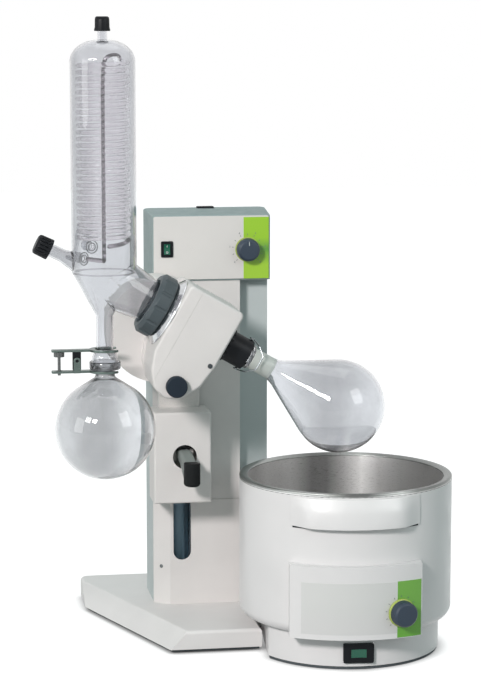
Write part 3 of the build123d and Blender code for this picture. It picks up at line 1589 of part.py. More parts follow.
with BuildPart() as clamp_jaw_lower:
    extrude(clamp_jaw(lower_arm_z), amount=jaw_thickness)
    for ear_side in (-1, 1):
        ear_offset = ear_side * (clamp_block_width / 2 + body_gap + clamp_ear_thickness / 2) - clamp_ear_thickness / 2
        with BuildSketch(hinge_side_plane.offset(ear_offset)):
            with Locations((0, lower_arm_z - hinge_z)):
                Rectangle(clamp_ear_length, hinge_z - lower_arm_z, align=(Align.CENTER, Align.MIN))
            Circle(clamp_ear_length / 2)
            Circle(clamp_pin_radius + shaft_gap, mode=Mode.SUBTRACT)
        extrude(amount=clamp_ear_thickness)
    with BuildSketch(jaw_plane.offset(lower_arm_z)):
        with Locations((-thumb_reach, 0)):
            SlotCenterToCenter(clamp_slot, 2 * thumb_stem_radius + 4 * body_gap)
    extrude(amount=jaw_thickness, mode=Mode.SUBTRACT)
save(clamp_jaw_lower, "clamp_jaw_lower")

with BuildPart() as clamp_screw:
    with BuildSketch(jaw_plane.offset(upper_arm_z - body_gap - thumb_height)):
        with Locations((-thumb_reach, 0)):
            Circle(thumb_radius)
            with PolarLocations(thumb_radius, thumb_flute_count):
                Circle(thumb_flute_radius, mode=Mode.SUBTRACT)
    extrude(amount=thumb_height)
    with BuildSketch(jaw_plane.offset(lower_arm_z - jaw_thickness)):
        with Locations((-thumb_reach, 0)):
            Circle(thumb_stem_radius)
    extrude(amount=upper_arm_z - lower_arm_z)
save(clamp_screw, "clamp_screw")

# Bath, turned a little towards the front left
bath_x_dir = Vector(cos(radians(bath_turn)), -sin(radians(bath_turn)), 0)
bath_back_dir = Vector(sin(radians(bath_turn)), cos(radians(bath_turn)), 0)
bath_centre = Vector(bath_x, -bath_y, 0)
bath_axis = Axis(bath_centre, (0, 0, 1))
bath_floor = Plane(origin=bath_centre, x_dir=bath_x_dir, z_dir=(0, 0, 1))


def bath_front_plane(x, distance, z, turn):
    """A plane facing out of the bath's front at x and z, that far from its axis, turned about Z."""
    out = Vector(0, 0, 0) - bath_back_dir
    right = bath_x_dir
    out_turned = out * cos(radians(turn)) + right * sin(radians(turn))
    right_turned = right * cos(radians(turn)) - out * sin(radians(turn))
    origin = bath_centre + right * x + out * distance + Vector(0, 0, z)
    return Plane(origin=origin, x_dir=right_turned, z_dir=out_turned)


def bath_section_plane(turn):
    """A plane through the bath's axis, its X pointing out at that turn from the front."""
    out = Vector(0, 0, 0) - bath_back_dir
    outward = out * cos(radians(turn)) + bath_x_dir * sin(radians(turn))
    return Plane(origin=bath_centre, x_dir=outward, z_dir=outward.cross(Vector(0, 0, 1)))


def cup_section(radius, bottom, top, corner):
    """Half section of a round-cornered cup on the bath's axis."""
    with BuildSketch(bath_section_plane(0)) as section:
        with BuildLine():
            Polyline((radius, bottom + corner), (radius, top), (0, top), (0, bottom), (radius - corner, bottom))
            RadiusArc((radius - corner, bottom), (radius, bottom + corner), -corner)
        make_face()
    return section.sketch.face()


with BuildPart() as bath_shell:
    revolve(cup_section(bath_radius, bath_bottom, bath_top, bath_bottom_radius), axis=bath_axis)
    revolve(
        cup_section(
            bath_radius - bath_wall, bath_bottom + bath_wall, bath_top + overrun, bath_bottom_radius - bath_wall
        ),
        axis=bath_axis,
        mode=Mode.SUBTRACT,
    )
save(bath_shell, "bath_shell")

with BuildPart() as bath_pot:
    revolve(cup_section(pot_radius + pot_wall, pot_bottom - pot_wall, pot_rim_top, pot_bottom_radius + pot_wall),
            axis=bath_axis)
    with BuildSketch(bath_section_plane(0)):
        Polygon(
            (pot_radius, bath_top), (bath_radius, bath_top), (bath_radius, pot_rim_top - pot_wall),
            (bath_radius - pot_wall, pot_rim_top), (pot_radius, pot_rim_top), align=None,
        )
    revolve(axis=bath_axis)
    revolve(
        cup_section(pot_radius, pot_bottom, pot_rim_top + overrun, pot_bottom_radius),
        axis=bath_axis, mode=Mode.SUBTRACT,
    )
    with BuildSketch(bath_section_plane(0)):
        Polygon(
            (pot_radius - overrun, pot_rim_top - pot_rim_width / 2), (pot_radius + pot_rim_width, pot_rim_top),
            (pot_radius + pot_rim_width, pot_rim_top + overrun), (pot_radius - overrun, pot_rim_top + overrun),
            align=None,
        )
    revolve(axis=bath_axis, mode=Mode.SUBTRACT)
save(bath_pot, "bath_pot")

with BuildPart() as bath_heater:
    with BuildSketch(bath_section_plane(0)):
        with Locations((heater_radius, pot_bottom - pot_wall - body_gap - heater_tube_radius)):
            RegularPolygon(heater_tube_radius, 8)
        with Locations((heater_radius / 2, pot_bottom - pot_wall - body_gap - heater_tube_radius)):
            RegularPolygon(heater_tube_radius, 8)
    revolve(axis=bath_axis)
    with BuildSketch(bath_floor.offset(pot_bottom - pot_wall - body_gap - heater_tube_radius * 3 / 2)):
        Rectangle(2 * heater_radius, heater_tube_radius * 2)
    extrude(amount=heater_tube_radius)
save(bath_heater, "bath_heater")


def foot_sketch(inset):
    """The foot's plan: a circle with its left side cut flat to stand close to the base."""
    with BuildSketch(bath_floor) as plan:
        Circle(bath_foot_radius - inset)
        with Locations((-bath_foot_flat + inset, 0)):
            Rectangle(bath_foot_radius, 2 * bath_foot_radius, align=(Align.MAX, Align.CENTER), mode=Mode.SUBTRACT)
    return plan.sketch


foot_front = bath_front_plane(bath_switch_x, bath_foot_radius, bath_switch_bottom + bath_switch_height / 2, 0)
foot_back = Plane(
    origin=bath_centre + bath_back_dir * (bath_foot_radius - inlet_flange)
    + Vector(0, 0, gasket_height + inlet_height / 2 + bath_foot_wall),
    x_dir=bath_x_dir * -1, z_dir=bath_back_dir,
)
with BuildPart() as bath_foot:
    extrude(foot_sketch(0).moved(Location((0, 0, gasket_height))), amount=bath_bottom - gasket_height)
    extrude(
        foot_sketch(bath_foot_wall).moved(Location((0, 0, gasket_height))),
        amount=bath_bottom - gasket_height - bath_foot_wall, mode=Mode.SUBTRACT,
    )
    with BuildSketch(foot_front.offset(overrun)):
        Rectangle(bath_switch_width + body_gap, bath_switch_height + body_gap)
    extrude(amount=-bath_switch_depth - overrun, mode=Mode.SUBTRACT)
    with BuildSketch(foot_back.offset(inlet_flange * 3)):
        RectangleRounded(inlet_width + body_gap, inlet_height + body_gap, inlet_flange)
    extrude(amount=-inlet_depth, mode=Mode.SUBTRACT)
save(bath_foot, "bath_foot")

with BuildPart() as bath_gasket:
    extrude(foot_sketch(gasket_inset), amount=gasket_height)
    extrude(foot_sketch(gasket_inset + gasket_width), amount=gasket_height, mode=Mode.SUBTRACT)
save(bath_gasket, "bath_gasket")

bath_inlet = inlet_piece(foot_back)
save(bath_inlet, "bath_inlet")

# Control bulge on the bath's front
bulge_sagitta = bulge_radius - sqrt(bulge_radius * bulge_radius - bulge_half_width * bulge_half_width)


def bulge_sketch(inset):
    """The bulge's plan between its curved face and the bath's shell."""
    half = bulge_half_width - inset
    front = bulge_front - inset
    side = bulge_front - bulge_sagitta - inset
    with BuildSketch(bath_floor) as plan:
        with BuildLine():
            ThreePointArc((-half, -side), (0, -front), (half, -side))
            Polyline((half, -side), (half, -bath_radius / 2), (-half, -bath_radius / 2), (-half, -side))
        make_face()
        Circle(bath_radius + body_gap, mode=Mode.SUBTRACT)
    return plan.sketch


bulge_turn = degrees(asin(bath_knob_x / bulge_radius))
knob_distance = bulge_front - bulge_radius + bulge_radius * cos(radians(bulge_turn))
bath_knob_plane = bath_front_plane(bath_knob_x, knob_distance, bath_knob_z, bulge_turn)
with BuildPart() as bath_console:
    extrude(bulge_sketch(0).moved(Location((0, 0, bulge_bottom))), amount=bulge_top - bulge_bottom)
    extrude(
        bulge_sketch(bulge_wall).moved(Location((0, 0, bulge_bottom + bulge_wall))),
        amount=bulge_top - bulge_bottom - 2 * bulge_wall, mode=Mode.SUBTRACT,
    )
    with BuildSketch(bath_knob_plane.offset(overrun)):
        Circle(knob_shaft_radius + body_gap)
    extrude(amount=-bulge_wall - 2 * overrun, mode=Mode.SUBTRACT)
save(bath_console, "bath_console")

bath_knob = turned_knob(
    bath_knob_plane, bath_knob_radius, bath_knob_length, knob_standoff, knob_shaft_radius, bulge_wall * 2
)
save(bath_knob, "bath_knob")

bath_rocker_origin = foot_front.offset(bath_switch_lip - bath_rocker_crown / 2).origin
bath_rocker_plane = Plane(origin=bath_rocker_origin, x_dir=(0, 0, 1), z_dir=foot_front.z_dir)
with BuildPart() as bath_switch_frame:
    with BuildSketch(foot_front.offset(bath_switch_lip)):
        RectangleRounded(bath_switch_width, bath_switch_height, bath_switch_lip)
    extrude(amount=-bath_switch_lip - bath_switch_flange)
    with BuildSketch(foot_front.offset(-bath_switch_flange)):
        Rectangle(bath_rocker_width + 2 * bath_switch_lip, bath_rocker_height + 2 * bath_switch_lip)
    extrude(amount=-bath_switch_depth + bath_switch_flange)
    with BuildSketch(foot_front.offset(bath_switch_lip)):
        Rectangle(bath_rocker_width + 2 * body_gap, bath_rocker_height + 2 * body_gap)
    extrude(amount=-bath_switch_depth, mode=Mode.SUBTRACT)
    bath_pin_reach = bath_rocker_height / 2 + rocker_pin_reach + body_gap
    with BuildSketch(pivot_start(bath_rocker_plane, bath_pin_reach)):
        Circle(rocker_pin_radius + shaft_gap)
    extrude(amount=2 * bath_pin_reach, mode=Mode.SUBTRACT)
save(bath_switch_frame, "bath_switch_frame")

bath_rocker = rocker_piece(
    bath_rocker_plane, bath_rocker_height, bath_rocker_width, bath_rocker_crown, bath_switch_depth / 2
)
save(bath_rocker, "bath_rocker")

# Carrying handles moulded round the shell, one in front and one behind
handle_inner = bath_radius + body_gap
handle_points = [
    (handle_inner, handle_top),
    (handle_inner + handle_top_reach, handle_top),
    (bath_radius + handle_reach, handle_top - handle_face),
    (bath_radius + handle_reach, handle_bottom),
    (bath_radius + handle_reach - handle_lip, handle_bottom),
    (bath_radius + handle_reach - handle_lip, handle_bottom + handle_pocket),
    (handle_inner, handle_top - handle_root),
]
with BuildPart() as bath_handles:
    for handle_side in (0, 180):
        with BuildSketch(bath_section_plane(handle_side - handle_half_angle)):
            Polygon(*handle_points, align=None)
        revolve(axis=bath_axis, revolution_arc=2 * handle_half_angle)
save(bath_handles, "bath_handles")
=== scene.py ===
"""Rotary evaporator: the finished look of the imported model, in metres in the model's own frame."""

import json
import logging
import math
from collections.abc import Callable
from dataclasses import dataclass
from enum import Enum

import bmesh
import bpy
from mathutils import Matrix, Vector

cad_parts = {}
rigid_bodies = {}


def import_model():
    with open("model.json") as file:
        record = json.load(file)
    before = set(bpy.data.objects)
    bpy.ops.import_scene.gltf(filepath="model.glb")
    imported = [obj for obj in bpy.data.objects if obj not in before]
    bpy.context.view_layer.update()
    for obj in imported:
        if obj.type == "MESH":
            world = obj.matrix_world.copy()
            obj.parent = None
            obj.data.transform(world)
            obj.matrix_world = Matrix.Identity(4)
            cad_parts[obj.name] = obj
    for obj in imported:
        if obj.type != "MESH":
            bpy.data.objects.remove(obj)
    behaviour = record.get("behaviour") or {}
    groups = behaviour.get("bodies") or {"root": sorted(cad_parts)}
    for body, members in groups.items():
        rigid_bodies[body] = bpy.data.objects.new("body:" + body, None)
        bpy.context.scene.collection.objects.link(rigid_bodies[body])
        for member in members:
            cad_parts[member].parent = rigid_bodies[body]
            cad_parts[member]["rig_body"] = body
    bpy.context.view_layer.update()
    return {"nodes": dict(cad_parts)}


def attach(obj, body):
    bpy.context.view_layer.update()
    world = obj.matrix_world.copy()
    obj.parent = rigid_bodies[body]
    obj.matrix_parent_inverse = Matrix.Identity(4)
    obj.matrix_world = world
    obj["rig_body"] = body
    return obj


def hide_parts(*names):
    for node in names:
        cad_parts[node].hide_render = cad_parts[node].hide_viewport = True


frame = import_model()

MM = 0.001
FULL_TURN = 2 * math.pi
DRIVE_SLOPE = math.radians(30)
PORT_RISE = math.radians(26)
BATH_TURN = math.radians(5)
HEAD_Y = -129.0
DRIVE_Z = 437.7
CONDENSER_X = -118.0
PORT_Z = 507.5
BATH_X = 203.5
BATH_Y = -128.0
BATH_FACE = 153.0
BULGE_RADIUS = 179.0
PANEL_Y = -4.0
POT_SPAN = (70.0, 337.0)
RIM_SPAN = (220.0, 233.0)
DIAL_TICKS = 11
DIAL_SWEEP = 270.0
# Painted shade: the dark beads where the return pipe shows through the coil's turns.
PAINTED_BEAD_SHADES = ((0.0, 0.22), (0.45, 0.3), (0.62, 1.0), (0.86, 1.0), (1.0, 0.22))
MERGE_REACH = 0.0005
CORNER_STEPS = 4

log = logging.getLogger("rotary_evaporator")

Tone = tuple[float, float, float]
Point = tuple[float, float, float]
Shares = tuple[tuple[float, float], ...]
Stops = list[tuple[float, Tone]]
Move = Callable[[Vector], Vector]
Socket = bpy.types.NodeSocket


class Body(Enum):
    """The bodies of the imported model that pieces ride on."""

    STAND = "stand"
    SPEED_DIAL = "speed_dial"
    POWER_SWITCH = "power_switch"
    CARRIAGE = "carriage"
    LIFT_LEVER = "lift_lever"
    HEAD = "head"
    WORM = "worm"
    TILT_LOCK = "tilt_lock"
    ROTOR = "rotor"
    CLIP = "clip"
    BAIL = "bail"
    GLASS_NUT = "glass_nut"
    UPPER_CAP = "upper_cap"
    PORT_CAP = "port_cap"
    RECEIVER = "receiver"
    LOWER_JAW = "lower_jaw"
    JAW_SCREW = "jaw_screw"
    BATH = "bath"
    BATH_DIAL = "bath_dial"
    BATH_SWITCH = "bath_switch"


def axes(origin: Point, x_axis: Vector, z_axis: Vector) -> Matrix:
    """Place a local frame in the row frame.

    Args:
        origin: The local origin in millimetres.
        x_axis: Where the local X points.
        z_axis: Where the local Z points, square to x_axis.

    Returns:
        The matrix that takes local millimetres to metres in the row frame.
    """
    z_unit = z_axis.normalized()
    x_unit = x_axis.normalized()
    y_unit = z_unit.cross(x_unit)
    turn = Matrix((x_unit, y_unit, z_unit)).transposed().to_4x4()
    return Matrix.Translation(Vector(origin) * MM) @ turn @ Matrix.Scale(MM, 4)


DRIVE_AXIS = Vector((math.cos(DRIVE_SLOPE), 0, -math.sin(DRIVE_SLOPE)))
DRIVE_CROSS = Vector((math.sin(DRIVE_SLOPE), 0, math.cos(DRIVE_SLOPE)))
PORT_AXIS = Vector((-math.cos(PORT_RISE), 0, math.sin(PORT_RISE)))
PORT_CROSS = Vector((math.sin(PORT_RISE), 0, math.cos(PORT_RISE)))
BATH_RIGHT = Vector((math.cos(BATH_TURN), -math.sin(BATH_TURN), 0))
BATH_FRONT = Vector((-math.sin(BATH_TURN), -math.cos(BATH_TURN), 0))
UP = Vector((0, 0, 1))
RIGHT = Vector((1, 0, 0))
FRONT = Vector((0, -1, 0))

DRIVE = axes((0, HEAD_Y, DRIVE_Z), DRIVE_CROSS, DRIVE_AXIS)
UPRIGHT = axes((CONDENSER_X, HEAD_Y, 0), RIGHT, UP)
PORT = axes((CONDENSER_X, HEAD_Y, PORT_Z), PORT_CROSS, PORT_AXIS)
BATH = axes((BATH_X, BATH_Y, 0), BATH_RIGHT, UP)
ROW = axes((0, 0, 0), RIGHT, UP)


def tone(red: float, green: float, blue: float) -> Tone:
    """Turn a display colour from 0 to 255 into linear light.

    Args:
        red: The red channel.
        green: The green channel.
        blue: The blue channel.

    Returns:
        The three linear channels.
    """
    shares = (channel / 255 for channel in (red, green, blue))
    return tuple(c / 12.92 if c <= 0.04045 else ((c + 0.055) / 1.055) ** 2.4 for c in shares)


def shade(colour: Tone, factor: float) -> Tone:
    """Scale a linear colour.

    Args:
        colour: The colour.
        factor: What to multiply it by.

    Returns:
        The scaled colour, at most 1 in each channel.
    """
    return tuple(min(1.0, channel * factor) for channel in colour)


def greys(shares: Shares) -> Stops:
    """Turn shares into the grey stops of a colour ramp.

    Args:
        shares: Each stop's place and how light it is.

    Returns:
        The same stops with colours.
    """
    return [(place, (share, share, share)) for place, share in shares]


def reckon(tree: bpy.types.NodeTree, operation: str, one: Socket, other: Socket | float = 0.0) -> Socket:
    """Reckon with a pattern in a node tree.

    Args:
        tree: The tree.
        operation: The math node's operation.
        one: The first value.
        other: The second value, a socket or a number.

    Returns:
        The result's socket.
    """
    node = tree.nodes.new("ShaderNodeMath")
    node.operation = operation
    tree.links.new(one, node.inputs[0])
    if isinstance(other, Socket):
        tree.links.new(other, node.inputs[1])
    else:
        node.inputs[1].default_value = other
    return node.outputs[0]


class Recipe:
    """A node material under construction, with one Principled shader."""

    def __init__(self, name: str) -> None:
        """Start an empty material.

        Args:
            name: The material's name.
        """
        self.material = bpy.data.materials.new(name)
        self.material.use_nodes = True
        self.tree = self.material.node_tree
        self.nodes = self.tree.nodes
        self.links = self.tree.links
        self.shader = self.nodes["Principled BSDF"]
        self.place = self.nodes.new("ShaderNodeTexCoord").outputs["Object"]

    def fix(self, **values: object) -> None:
        """Set constants on the shader's own sockets.

        Args:
            **values: Each socket's value, by its name with underscores for spaces.
        """
        for name, value in values.items():
            self.shader.inputs[name.replace("_", " ")].default_value = value

    def noise(self, grain: float, detail: float = 3.0, stretch: Point = (1, 1, 1)) -> Socket:
        """Add a noise pattern.

        Args:
            grain: The size of one blob in millimetres.
            detail: How many finer layers it has.
            stretch: The pattern's scale along X, Y and Z.

        Returns:
            The noise's factor socket.
        """
        mapping = self.nodes.new("ShaderNodeMapping")
        mapping.inputs["Scale"].default_value = stretch
        pattern = self.nodes.new("ShaderNodeTexNoise")
        pattern.inputs["Scale"].default_value = 1 / (grain * MM)
        pattern.inputs["Detail"].default_value = detail
        self.links.new(self.place, mapping.inputs["Vector"])
        self.links.new(mapping.outputs["Vector"], pattern.inputs["Vector"])
        return pattern.outputs["Fac"]

    def along(self, name: str) -> Socket:
        """Find the place along one row-frame axis.

        Args:
            name: X, Y or Z.

        Returns:
            A socket with the place in metres.
        """
        split = self.nodes.new("ShaderNodeSeparateXYZ")
        self.links.new(self.place, split.inputs["Vector"])
        return split.outputs[name]

    def axis(self, name: str, low: float, high: float) -> Socket:
        """Measure one row-frame axis.

        Args:
            name: X, Y or Z.
            low: Where the share is 0, in millimetres.
            high: Where the share is 1, in millimetres.

        Returns:
            A socket that runs from 0 to 1.
        """
        return self.spread(self.along(name), 0, 1, low * MM, high * MM)

    def count(self, name: str, pitch: float) -> Socket:
        """Repeat along one row-frame axis.

        Args:
            name: X, Y or Z.
            pitch: How far one repeat reaches, in millimetres.

        Returns:
            A socket that runs from 0 to 1 in each repeat.
        """
        return reckon(self.tree, "FRACT", reckon(self.tree, "DIVIDE", self.along(name), pitch * MM))

    def spread(
        self, source: Socket, low: float, high: float, start: float = 0.35, end: float = 0.65
    ) -> Socket:
        """Map a pattern onto a range.

        Args:
            source: The pattern.
            low: The value at start.
            high: The value at end.
            start: The pattern's low mark.
            end: The pattern's high mark.

        Returns:
            The mapped socket.
        """
        node = self.nodes.new("ShaderNodeMapRange")
        for index, value in enumerate((start, end, low, high), start=1):
            node.inputs[index].default_value = value
        self.links.new(source, node.inputs["Value"])
        return node.outputs["Result"]

    def ramp(self, source: Socket, stops: Stops) -> Socket:
        """Colour a pattern.

        Args:
            source: The pattern, from 0 to 1.
            stops: Each stop's place and linear colour.

        Returns:
            The colour socket.
        """
        node = self.nodes.new("ShaderNodeValToRGB")
        elements = node.color_ramp.elements
        while len(elements) < len(stops):
            elements.new(0.5)
        for element, (place, colour) in zip(elements, stops):
            element.position = place
            element.color = (*colour, 1)
        self.links.new(source, node.inputs["Fac"])
        return node.outputs["Color"]

    def times(self, one: Socket, other: Socket) -> Socket:
        """Multiply two colours.

        Args:
            one: The first colour.
            other: The second colour.

        Returns:
            Their product.
        """
        node = self.nodes.new("ShaderNodeMix")
        node.data_type = "RGBA"
        node.blend_type = "MULTIPLY"
        node.inputs[0].default_value = 1.0
        self.links.new(one, node.inputs[6])
        self.links.new(other, node.inputs[7])
        return node.outputs[2]

    def bump(self, height: Socket, depth: float, strength: float = 1.0) -> None:
        """Raise the surface by a pattern.

        Args:
            height: The pattern.
            depth: Its depth in millimetres.
            strength: How strongly it shows.
        """
        node = self.nodes.new("ShaderNodeBump")
        node.inputs["Strength"].default_value = strength
        node.inputs["Distance"].default_value = depth * MM
        self.links.new(height, node.inputs["Height"])
        self.links.new(node.outputs["Normal"], self.shader.inputs["Normal"])

    def feed(self, source: Socket, socket: str) -> None:
        """Link a pattern to one of the shader's sockets.

        Args:
            source: The pattern.
            socket: The socket's name.
        """
        self.links.new(source, self.shader.inputs[socket])


@dataclass(frozen=True)
class Finish:
    """A surface finish. Each kind builds its own node material once."""

    name: str
    colour: Tone
    roughness: float = 0.45

    def material(self) -> bpy.types.Material:
        """Build the material, or find it if it is built already.

        Returns:
            The material.
        """
        found = bpy.data.materials.get(self.name)
        return found if found else self.mixed().material

    def mixed(self) -> Recipe:
        """Mix the finish's nodes.

        Returns:
            The finished recipe.
        """
        raise NotImplementedError


@dataclass(frozen=True)
class Coat(Finish):
    """Paint or moulded plastic: faint clouding, a fine grain and uneven gloss."""

    mottle: float = 0.03
    cloud: float = 60.0
    grain: float = 0.5
    depth: float = 0.012
    gloss: float = 0.0
    shine: float = 0.5

    def mixed(self) -> Recipe:
        """Mix clouding, gloss and grain.

        Returns:
            The finished recipe.
        """
        recipe = Recipe(self.name)
        cloud = recipe.noise(self.cloud)
        low, high = shade(self.colour, 1 - self.mottle), shade(self.colour, 1 + self.mottle)
        recipe.feed(recipe.ramp(cloud, [(0.3, low), (0.7, high)]), "Base Color")
        wear = recipe.noise(self.cloud / 4, 5)
        recipe.feed(recipe.spread(wear, self.roughness * 0.85, min(1, self.roughness * 1.15)), "Roughness")
        recipe.bump(recipe.noise(self.grain, 2), self.depth, 0.35)
        recipe.fix(Coat_Weight=self.gloss, Coat_Roughness=0.2, Specular_IOR_Level=self.shine)
        return recipe


@dataclass(frozen=True)
class Gradient(Finish):
    """A printed film whose colour runs from one tone to another down its length. On the tower's strip the
    darker middle is a painted shadow.
    """

    low: Tone = (0, 0, 0)
    middle: Tone = (0, 0, 0)
    bottom: float = 0.0
    top: float = 100.0

    def mixed(self) -> Recipe:
        """Mix the three tones up the height, with a fine print grain.

        Returns:
            The finished recipe.
        """
        recipe = Recipe(self.name)
        rise = recipe.axis("Z", self.bottom, self.top)
        stops = [
            (0.0, self.low), (0.22, self.low), (0.48, self.middle), (0.66, self.colour), (1.0, self.colour)
        ]
        recipe.feed(recipe.ramp(rise, stops), "Base Color")
        recipe.feed(recipe.spread(recipe.noise(6), self.roughness - 0.05, self.roughness + 0.05), "Roughness")
        recipe.bump(recipe.noise(0.4, 2), 0.004, 0.3)
        return recipe


@dataclass(frozen=True)
class Metal(Finish):
    """Bare metal: long brush marks along one axis, and faint clouding."""

    brush: Point = (1, 1, 1)
    grain: float = 0.6
    depth: float = 0.004
    metallic: float = 1.0
    bands: Shares = ()
    rim: Tone = (1, 1, 1)

    def mixed(self) -> Recipe:
        """Mix brush marks and clouding, and, where there are any, the painted sheen bands across the pot and
        its darker rim.

        Returns:
            The finished recipe.
        """
        recipe = Recipe(self.name)
        lines = recipe.noise(self.grain, 4, self.brush)
        low, high = shade(self.colour, 0.9), shade(self.colour, 1.08)
        colour = recipe.ramp(lines, [(0.3, low), (0.7, high)])
        # Painted reflection: light and dark bands across the pot's width stand in for the room mirrored in
        # spun steel; the colour also darkens towards the rim.
        if self.bands:
            colour = recipe.times(colour, recipe.ramp(recipe.axis("X", *POT_SPAN), greys(self.bands)))
            rim = [(0.0, (1, 1, 1)), (0.9, (1, 1, 1)), (1.0, self.rim)]
            colour = recipe.times(colour, recipe.ramp(recipe.axis("Z", *RIM_SPAN), rim))
        recipe.feed(colour, "Base Color")
        recipe.feed(recipe.spread(lines, self.roughness * 0.8, self.roughness * 1.25), "Roughness")
        recipe.bump(lines, self.depth, 0.3)
        recipe.fix(Metallic=self.metallic)
        return recipe


@dataclass(frozen=True)
class Glass(Finish):
    """Blown or ground glass.

    Slow grey patches, and bands across a vessel, are painted reflection and shade that stand in for the room
    mirrored in the glass.
    Beads are painted shade: the dark spots with which a pipe shows through the turns of a coil.
    """

    haze: float = 0.02
    ior: float = 1.474
    wave: float = 0.02
    patch: float = 0.97
    clarity: float = 1.0
    bands: Shares = ()
    middle: float = 0.0
    reach: float = 60.0
    gloss: float = 0.0
    beads: float = 0.0

    def mixed(self) -> Recipe:
        """Mix faint haze, painted grey patches, painted reflection bands, painted dark beads and the slow
        waves of blown glass.

        Returns:
            The finished recipe.
        """
        recipe = Recipe(self.name)
        film = recipe.noise(45, 1)
        recipe.feed(recipe.spread(film, self.roughness, self.roughness + self.haze), "Roughness")
        tint = [(0.38, shade(self.colour, self.patch)), (0.62, self.colour)]
        colour = recipe.ramp(film, tint)
        if self.bands:
            across = recipe.axis("X", self.middle - self.reach, self.middle + self.reach)
            colour = recipe.times(colour, recipe.ramp(across, greys(self.bands)))
        # Painted shade: dark beads repeated up the height.
        if self.beads:
            colour = recipe.times(colour, recipe.ramp(recipe.count("Z", self.beads), greys(PAINTED_BEAD_SHADES)))
        recipe.feed(colour, "Base Color")
        recipe.bump(recipe.noise(18, 1), self.wave, 0.25)
        recipe.fix(Transmission_Weight=self.clarity, IOR=self.ior)
        recipe.fix(Coat_Weight=self.gloss, Coat_Roughness=0.06)
        return recipe


HOUSING = Coat("warm_white_coat", tone(222, 218, 216), 0.6, shine=0.12)
BASE = Coat("base_white_coat", tone(227, 224, 223), 0.5, shine=0.3)
# Partly the shell's own grey and partly painted shade: its visible left side and right band take a darker,
# cooler tone.
COLUMN = Coat("column_grey_and_shade_coat", tone(194, 201, 201), 0.6, shine=0.12)
# Painted shade: the console's top and left side, which are what shows of it, take a darker teal tone for the
# shade they sit in.
SHADED_CONSOLE = Coat("console_painted_shade_coat", tone(146, 160, 160), 0.6, shine=0.15)
LEVER = Coat("lever_grey_coat", tone(124, 131, 128), 0.42, shine=0.3)
ENAMEL = Coat("bath_white_enamel", tone(227, 225, 225), 0.38, cloud=90, gloss=0.15)
DARK = Coat("dark_underside_coat", tone(62, 68, 72), 0.6, mottle=0.06, shine=0.3)
# Painted light: the guide channel and the spring's cylinder, seen deep in the slot, are far paler than their
# dark paint to stand in for light reaching in.
CHANNEL = Coat("channel_painted_light_coat", tone(196, 222, 236), 0.8, shine=0.05)
CYLINDER = Coat("spring_cylinder_painted_light_coat", tone(176, 204, 222), 0.85, shine=0.02)
STEEL = Metal("satin_stainless", tone(200, 202, 205), 0.28, brush=(1, 1, 0.06))
WIRE = Metal("bail_wire_steel", tone(122, 128, 130), 0.3, grain=2)
# The pot's bands are painted reflection: light and dark streaks across its width.
POT = Metal(
    "spun_pot_steel", tone(214, 214, 213), 0.34, brush=(0.25, 0.25, 6.0), grain=1.2,
    bands=(
        (0.0, 0.9), (0.16, 1.25), (0.3, 0.92), (0.42, 0.4), (0.5, 0.42),
        (0.6, 1.0), (0.68, 1.4), (0.76, 0.74), (0.86, 0.6), (1.0, 0.8),
    ),
    rim=(0.42, 0.44, 0.43),
)
CLAMP = Metal("clamp_steel", tone(92, 104, 100), 0.3, brush=(0.08, 1, 1))
THUMB = Metal("thumb_screw_steel", tone(96, 98, 98), 0.3, grain=2)
CHROME = Metal("polished_chrome", tone(206, 208, 210), 0.12, grain=8, depth=0.001)
CAST = Metal("machined_aluminium", tone(190, 192, 194), 0.42, grain=0.8)
BRACKET = Metal("painted_casting", tone(214, 210, 207), 0.5, grain=0.8, metallic=0.0)
BRONZE = Metal("machined_bronze", tone(176, 138, 82), 0.35)
PANEL = Coat("panel_film", tone(222, 218, 215), 0.6, mottle=0.02, shine=0.15)
BLACK = Coat("black_moulding", tone(16, 19, 23), 0.42, mottle=0.1, shine=0.14)
SLATE = Coat("slate_moulding", tone(50, 62, 76), 0.48, mottle=0.06, shine=0.3)
NUT = Coat("nut_moulding", tone(68, 77, 81), 0.5, mottle=0.06, shine=0.3)
TILT = Coat("tilt_knob_moulding", tone(30, 40, 50), 0.45, mottle=0.06, shine=0.15)
GRIP = Coat("grip_rubber", tone(14, 17, 18), 0.5, mottle=0.1, depth=0.03, shine=0.12)
# Painted shade, laid as dark strips where shadow falls under the pot's rim and the handle's lip.
SHADE = Coat("painted_shade_strip", tone(44, 48, 50), 0.7, mottle=0.06, shine=0.1)
RUBBER = Coat("grey_rubber", tone(70, 76, 80), 0.75, mottle=0.08, depth=0.03)
SEAL = Coat("white_seal", tone(222, 222, 218), 0.35)
BOARD = Coat("board_green", tone(60, 110, 74), 0.5, mottle=0.1, cloud=8)
ROCKER = Coat("rocker_green", tone(14, 92, 70), 0.2, mottle=0.08, gloss=0.3, shine=0.3)
PRINT = Coat("print_grey", tone(96, 104, 112), 0.5)
MARK = Coat("mark_white", tone(206, 212, 210), 0.4)
LIME = Coat("dial_skirt_lime", tone(170, 186, 88), 0.4)
SCREW = Metal("screw_steel", tone(110, 114, 114), 0.32)
# Painted shadow: the darker middle, at the speed dial's height, stands in for the knob's shadow on the strip.
TOWER_GREEN = Gradient(
    "tower_green_film", tone(154, 202, 44), 0.34,
    low=tone(160, 204, 52), middle=tone(92, 154, 58), bottom=484, top=568,
)
BATH_GREEN = Gradient(
    "bath_green_film", tone(112, 172, 66), 0.34,
    low=tone(100, 168, 50), middle=tone(104, 166, 62), bottom=47, top=118,
)
BATH_PANEL = Gradient(
    "bath_panel_film", tone(215, 215, 213), 0.34,
    low=tone(214, 213, 212), middle=tone(214, 214, 212), bottom=53, top=121,
)
